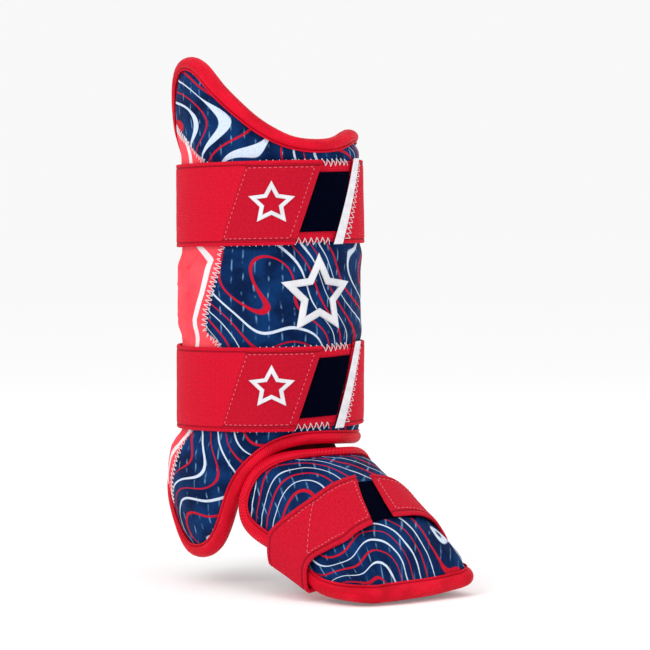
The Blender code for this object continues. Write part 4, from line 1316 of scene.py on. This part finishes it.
def star(name, node, angle, middle, size, lift_of, off, thick, chamfer, material):
    """A plain five-pointed star in outline with chamfered edges, bent round the leg."""
    steps = 14
    turns = np.arange(10) * math.pi / 5
    reach = np.where(np.arange(10) % 2, STAR_NOTCH, 1.0) * size / 2
    corners = np.stack([reach * np.sin(turns), reach * np.cos(turns)], -1)
    outline = []
    for index in range(10):
        share = np.linspace(0, 1, steps, endpoint=False)[:, None]
        outline.append(mix(corners[index], corners[(index + 1) % 10], share))
    outline = np.concatenate(outline)
    wall = (1 - STAR_OPENING) * 0.62 * size / 2
    bevel = min(chamfer / wall, 0.3)
    outer, heights = [], (0.0, 0.55, 1.0, 1.0, 0.55, 0.0)
    insets = (0.0, 0.0, bevel, 1 - bevel, 1.0, 1.0)
    for inset, height in zip(insets, heights):
        scaled = outline * mix(1.0, STAR_OPENING, inset)
        around = angle + np.degrees(scaled[:, 0] / SHELL_RADIUS)
        up = middle + scaled[:, 1]
        level = 2 * around - slanted(around, up, middle)
        lift = (lift_of(level) if callable(lift_of) else lift_of) + off
        places = np.stack([np.radians(around) * SHELL_RADIUS, up], -1)
        outer.append((places, on_leg(places, lift + thick * height)))
    points = np.stack([points for _, points in outer], 1)
    places = np.stack([places for places, _ in outer], 1)
    count, rows = points.shape[:2]
    numbers = np.arange(count * rows).reshape(count, rows)
    numbers = np.concatenate([numbers, numbers[:1]])
    numbers = np.concatenate([numbers, numbers[:, :1]], 1)
    places = np.concatenate([places, places[:1]])
    places = np.concatenate([places, places[:, :1]], 1)
    obj = add_piece(name, points, [Patch(numbers, places)], [material])
    obj.data.set_sharp_from_angle(angle=math.radians(20))
    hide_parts(node)
    return obj


# The foot guard
def make_foot_guard(materials):
    sides = sides_of(FOOT_OUTLINE, foot_place)
    grid = patch_between(
        sides["rear_lateral"], sides["toe_medial"].reversed(), sides["rear_medial"].reversed(),
        sides["toe_lateral"], 150, 150,
    )
    loop = [sides[name].points[:-1] for name in ("rear_lateral", "toe_lateral", "toe_medial", "rear_medial")]
    loop = Run(np.concatenate(loop + [sides["rear_lateral"].points[:1]]))
    edge = distance_to(grid, loop)
    off = 0.25 * MM * ripple(grid, 24 * MM) - 1.2 * MM * (1 - ease(edge / (6 * MM)))
    pucker = 0.14 * MM * np.sin(grid[..., 0] / MM * 1.2 + grid[..., 1] / MM)
    off = off + pucker * bell(edge, 6 * MM)
    guard = thick_cloth(
        "padded_foot_guard", on_foot(grid, off), on_foot(grid, -FOOT_WALL + 0 * off), grid,
        [materials["foot_print"], materials["lining"]],
    )
    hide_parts("foot_guard")
    make_binding(
        "foot_guard_binding", "foot_binding", loop, on_foot, FOOT_WALL, FOOT_BINDING_WIDTH, 420, materials
    )
    return sides


def turn_at_height(side, along, height):
    """How far round the foot's section a height lies, in radians."""
    share = along / FOOT_REACH
    up = (height - SOLE_LEVEL) / (FOOT.read("height", share) * FOOT_HEIGHT - SOLE_LEVEL)
    return side * np.arccos(np.maximum(up, 0) ** (FOOT.read("fullness", share) / 2))


def fold_line(fold, shares):
    """The inner face of the foot strap along one of its folds, from its rear edge to its front."""
    along = mix(fold.rear_along, fold.front_along, shares) * FOOT_REACH
    height = np.maximum(mix(fold.rear_height, fold.front_height, shares) * FOOT_HEIGHT, SOLE_LEVEL)
    turn = turn_at_height(fold.side, along, height)
    points = on_foot(np.stack([turn * FOOT_HALF_WIDTH, along], -1), fold.lift_mm * MM)
    points[:, 2] = height
    return points


def band_places(station, shares):
    turn = np.radians(mix(station.rear_turn, station.front_turn, shares))
    along = mix(station.rear_along, station.front_along, shares) * FOOT_REACH
    return np.stack([turn * FOOT_HALF_WIDTH, along], -1)


def make_foot_strap(materials):
    """The foot strap as one band: down the outer side, under the foot and up the inner side."""
    shares = edge_stations(30 * MM, 14)
    lines = [on_foot(band_places(row, shares), row.lift_mm * MM) for row in OUTER_BAND]
    first, last = fold_line(OUTER_FOLD, shares), fold_line(INNER_FOLD, shares)
    lines.append(first)
    lines += [mix(first, last, under) for under in (0.06, 0.25, 0.5, 0.75, 0.94)]
    lines.append(last)
    lines += [on_foot(band_places(row, shares), row.lift_mm * MM) for row in INNER_BAND]
    flat = [line.reshape(-1) for line in lines]
    run = smooth_run(flat, closed=False)
    inner = run.reshape(len(run), len(shares), 3)
    ahead, beside = np.gradient(inner, axis=0), np.gradient(inner, axis=1)
    out = np.cross(beside, ahead)
    out /= np.linalg.norm(out, axis=2, keepdims=True)
    middle = len(inner) // 12
    if (out[middle, len(shares) // 2] * (0, -0.3, 1)).sum() < 0:
        out = -out
    width = 30 * MM
    side = np.minimum(shares, 1 - shares)[None] * width
    steps = np.linalg.norm(np.diff(inner[:, len(shares) // 2], axis=0), axis=1)
    reach = np.concatenate([[0], np.cumsum(steps)])
    tip = np.minimum(reach, reach[-1] - reach)[:, None]
    full = rounded(side, 0.9 * MM) * rounded(tip, 0.9 * MM)
    top = FOOT_STRAP_THICK * mix(0.5, 1.0, full) - 0.25 * MM * bell(side - 2.4 * MM, 0.5 * MM)
    bottom = FOOT_STRAP_THICK * mix(0.5, 0.0, full)
    under = np.clip(SOLE_LEVEL - inner[..., 2], 0, None)
    outer, low = inner + out * top[..., None], inner + out * bottom[..., None]
    outer[..., 2] += under
    places = np.stack(np.broadcast_arrays(reach[:, None], (shares[None] - 0.5) * width), -1)
    strap = thick_cloth("foot_closing_strap", outer, low, places, [materials["foot_elastic"]])
    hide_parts("foot_strap")
    as_sheet(strap, outer, low, width, "laid", ["padded_foot_guard", "foot_guard_binding"])


def foot_band_run(rows, points):
    """A curve on the foot strap's flat part: (station number, share across) pairs, joined."""
    places = []
    for station, share in points:
        low = int(min(station, len(rows) - 2))
        part = station - low
        row = BandRow(*(mix(a, b, part) for a, b in zip(rows[low], rows[low + 1])))
        places.append(band_places(row, np.array([share]))[0])
    return Run(np.array(places))


def band_lift(rows, places):
    """How far the strap stands off the foot guard, by the turn of its middle."""
    turns = np.array([(row.rear_turn + row.front_turn) / 2 for row in rows])
    lifts = np.array([row.lift_mm for row in rows]) * MM
    order = np.argsort(turns)
    turn = np.degrees(places[:, 0] / FOOT_HALF_WIDTH)
    return np.interp(turn, turns[order], lifts[order]) + FOOT_STRAP_THICK + 0.15 * MM


def sew_foot_strap(materials):
    lines = []
    outer = (
        [(0.35, 0.13), (0.35, 0.5), (0.35, 0.87)],
        [(0.35, 0.13), (1, 0.13), (2, 0.13), (3, 0.13), (4, 0.13), (4.6, 0.13)],
        [(0.35, 0.87), (1, 0.87), (2, 0.87), (3, 0.87), (4, 0.87), (5.0, 0.87)],
        [(3.2, 0.13), (4.1, 0.5), (5.0, 0.87)],
    )
    for points in outer:
        run = foot_band_run(OUTER_BAND, points)
        for places, proud, girth in dashes(run, 2.7 * MM, 1.8 * MM, 0.0):
            lines.append((places, proud + band_lift(OUTER_BAND, places), girth))
    inner = (
        [(4.82, 0.13), (4.82, 0.5), (4.82, 0.87)],
        [(4.82, 0.13), (4, 0.13), (3, 0.13), (2, 0.13)],
        [(4.82, 0.87), (4, 0.87), (3, 0.87), (2, 0.87)],
    )
    for points in inner:
        run = foot_band_run(INNER_BAND, points)
        for places, proud, girth in dashes(run, 2.7 * MM, 1.8 * MM, 0.0):
            lines.append((places, proud + band_lift(INNER_BAND, places), girth))
    threads("foot_strap_stitches", lines, on_foot, 0.22 * MM, materials["pink_thread"])


def make_foot_pad(materials):
    rows, columns = 60, 90
    left, right = OUTER_BAND[1], INNER_BAND[-2]
    share = np.linspace(0.08, 0.92, rows)[:, None]
    along = mix(left.rear_along, left.front_along, share) * FOOT_REACH
    first = mix(left.rear_turn, left.front_turn, share)
    turn = mix(first, right.rear_turn, np.linspace(0, 1, columns)[None])
    places = np.stack(np.broadcast_arrays(np.radians(turn) * FOOT_HALF_WIDTH, along), -1)
    edge = np.minimum(np.minimum(share - 0.08, 0.92 - share) * 30 * MM, 1)
    off = GAP + LOOP_PAD_THICK * mix(0.6, 1.0, rounded(edge + 0 * turn, 1 * MM))
    off = off + nap(places, None, None, None)
    outer, inner = on_foot(places, off), on_foot(places, GAP + 0 * off)
    pad = thick_cloth("foot_pile_pad", outer, inner, places, [materials["pile"]])
    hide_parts("foot_loop_pad")
    as_sheet(pad, outer, inner, 25 * MM, "laid", ["padded_foot_guard"])


def make_gusset(materials, shin_sides, foot_sides):
    """The instep cloth, from the shell's lower edge to the foot guard's rear edge; its dark colour is partly the
    cloth's own and partly painted shadow for the gap between the two bindings.
    """
    ankle, rear = shin_sides["panel_low"], foot_sides["rear_medial"].reversed()
    columns = 60
    angles = np.linspace(-GUSSET_HALF_ANGLE, GUSSET_HALF_ANGLE, columns)
    faces = []
    for deep in (0.0, GUSSET_THICK):
        lines = []
        shell_edge = np.array([height_along(ankle, angle * SHELL_RADIUS) for angle in np.radians(angles)])
        turns = angles * 0.8
        foot_edge = np.array([height_along(rear, turn * FOOT_HALF_WIDTH) for turn in np.radians(turns)])
        for above in (GUSSET_HOLD, GUSSET_HOLD / 2, -GUSSET_HOLD * 0.6):
            places = np.stack([np.radians(angles) * SHELL_RADIUS, shell_edge + above], -1)
            lines.append(on_leg(places, -SHELL_WALL - BINDING_PROUD - 2 * GAP - deep).reshape(-1))
        for beyond in (-GUSSET_HOLD * 0.7, 0, GUSSET_HOLD):
            places = np.stack([np.radians(turns) * FOOT_HALF_WIDTH, foot_edge + beyond], -1)
            lines.append(on_foot(places, -FOOT_WALL - BINDING_PROUD - 2 * GAP - deep).reshape(-1))
        run = smooth_run(lines, closed=False)
        faces.append(run.reshape(len(run), columns, 3))
    rows = len(faces[0])
    places = np.stack(np.meshgrid(np.radians(angles) * SHELL_RADIUS, np.linspace(0, 60 * MM, rows)), -1)
    gusset = thick_cloth("instep_cloth", faces[0], faces[1], places, [materials["dark"]])
    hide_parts("instep_gusset")
    as_sheet(gusset, *faces, 65 * MM, "hung", ["padded_shell", "padded_foot_guard"])


def height_along(run, wanted):
    """The height of a curve where it is nearest to an arc length."""
    nearest = np.argmin(np.abs(run.points[:, 0] - wanted))
    return run.points[nearest, 1]


# Camera, light and floor
def make_camera():
    """The photo's viewpoint: from the outer front of the leg, a little above the middle."""
    facing, far, eye_height, aim_height, aside = math.radians(-37), 1.8, 0.2326, 0.1589, 0.035
    right = Vector((math.cos(facing), math.sin(facing), 0))
    toward = Vector((math.sin(facing), -math.cos(facing), 0))
    camera = bpy.data.objects.new("camera", bpy.data.cameras.new("camera"))
    bpy.context.scene.collection.objects.link(camera)
    target = right * aside + Vector((0, 0, aim_height - SEAT_HEIGHT))
    camera.location = right * aside + toward * far + Vector((0, 0, eye_height - SEAT_HEIGHT))
    camera.rotation_euler = (target - camera.location).to_track_quat("-Z", "Y").to_euler()
    camera.data.lens = 157.0
    camera.data.clip_end = 20
    bpy.context.scene.camera = camera
    return right, toward


def area_light(name, place, size, power, target=(0, -0.03, 0), colour=(1, 1, 1)):
    light = bpy.data.lights.new(name, "AREA")
    light.shape = "RECTANGLE"
    light.size, light.size_y = size
    light.energy = power
    light.color = colour
    obj = bpy.data.objects.new(name, light)
    bpy.context.scene.collection.objects.link(obj)
    obj.location = place
    obj.rotation_euler = (Vector(target) - Vector(place)).to_track_quat("-Z", "Y").to_euler()


def make_studio(right, toward, floor_level):
    """A pale floor, soft boxes and an even pale surround."""
    bpy.ops.mesh.primitive_plane_add(size=30, location=(0, 0, floor_level - 0.0005))
    floor = bpy.context.object
    floor.name = "studio_floor"
    pale = bpy.data.materials.new("pale_floor")
    pale.use_nodes = True
    pale.node_tree.nodes["Principled BSDF"].inputs["Base Color"].default_value = (0.86, 0.86, 0.86, 1)
    pale.node_tree.nodes["Principled BSDF"].inputs["Roughness"].default_value = 0.9
    pale.node_tree.nodes["Principled BSDF"].inputs["Specular IOR Level"].default_value = 0.0
    pale.node_tree.nodes["Principled BSDF"].inputs["Emission Color"].default_value = (1, 1, 1, 1)
    pale.node_tree.nodes["Principled BSDF"].inputs["Emission Strength"].default_value = 0.135
    floor.data.materials.append(pale)
    up = Vector((0, 0, 1))
    area_light("key", toward * 1.3 - right * 0.9 + up * 1.0, (0.8, 0.8), 9)
    area_light("fill", toward * 1.3 + right * 1.3 + up * 0.5, (1.2, 1.2), 3)
    area_light("top", up * 1.8 + toward * 0.3, (1.4, 1.4), 5)
    world = bpy.context.scene.world or bpy.data.worlds.new("world")
    bpy.context.scene.world = world
    world.use_nodes = True
    world.node_tree.nodes["Background"].inputs["Color"].default_value = (1, 1, 1, 1)
    world.node_tree.nodes["Background"].inputs["Strength"].default_value = 0.94
    bpy.context.scene.view_settings.view_transform = "Standard"


def main():
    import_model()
    cad_low, cad_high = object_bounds()
    right, toward = make_camera()
    make_studio(right, toward, cad_low.z)
    materials = make_materials()
    sides, seam, loop = shin_runs()
    make_shell(materials, sides, seam, loop)
    make_panel(materials, sides, seam)
    make_binding(
        "shin_guard_binding", "shin_binding", loop, on_leg, SHELL_WALL, BINDING_WIDTH, 620, materials
    )
    seam_face = -0.35 * MM
    lines = zigzag(seam, 3.0 * MM, 6.6 * MM, seam_face, start=0.02, end=0.98)
    threads("panel_seam_zigzag", lines, on_leg, 0.26 * MM, materials["white_thread"])
    make_strap("upper", UPPER_STRAP_HEIGHT, materials)
    make_strap("lower", LOWER_STRAP_HEIGHT, materials)
    star(
        "raised_star", "shin_badge", SHIN_BADGE_ANGLE, SEAT_HEIGHT, SHIN_BADGE_SIZE,
        SHIN_BADGE_LIFT, 0.0, SHIN_BADGE_THICK, 1.3 * MM, materials["moulded"],
    )
    foot_sides = make_foot_guard(materials)
    make_foot_strap(materials)
    sew_foot_strap(materials)
    make_foot_pad(materials)
    make_gusset(materials, sides, foot_sides)


main()
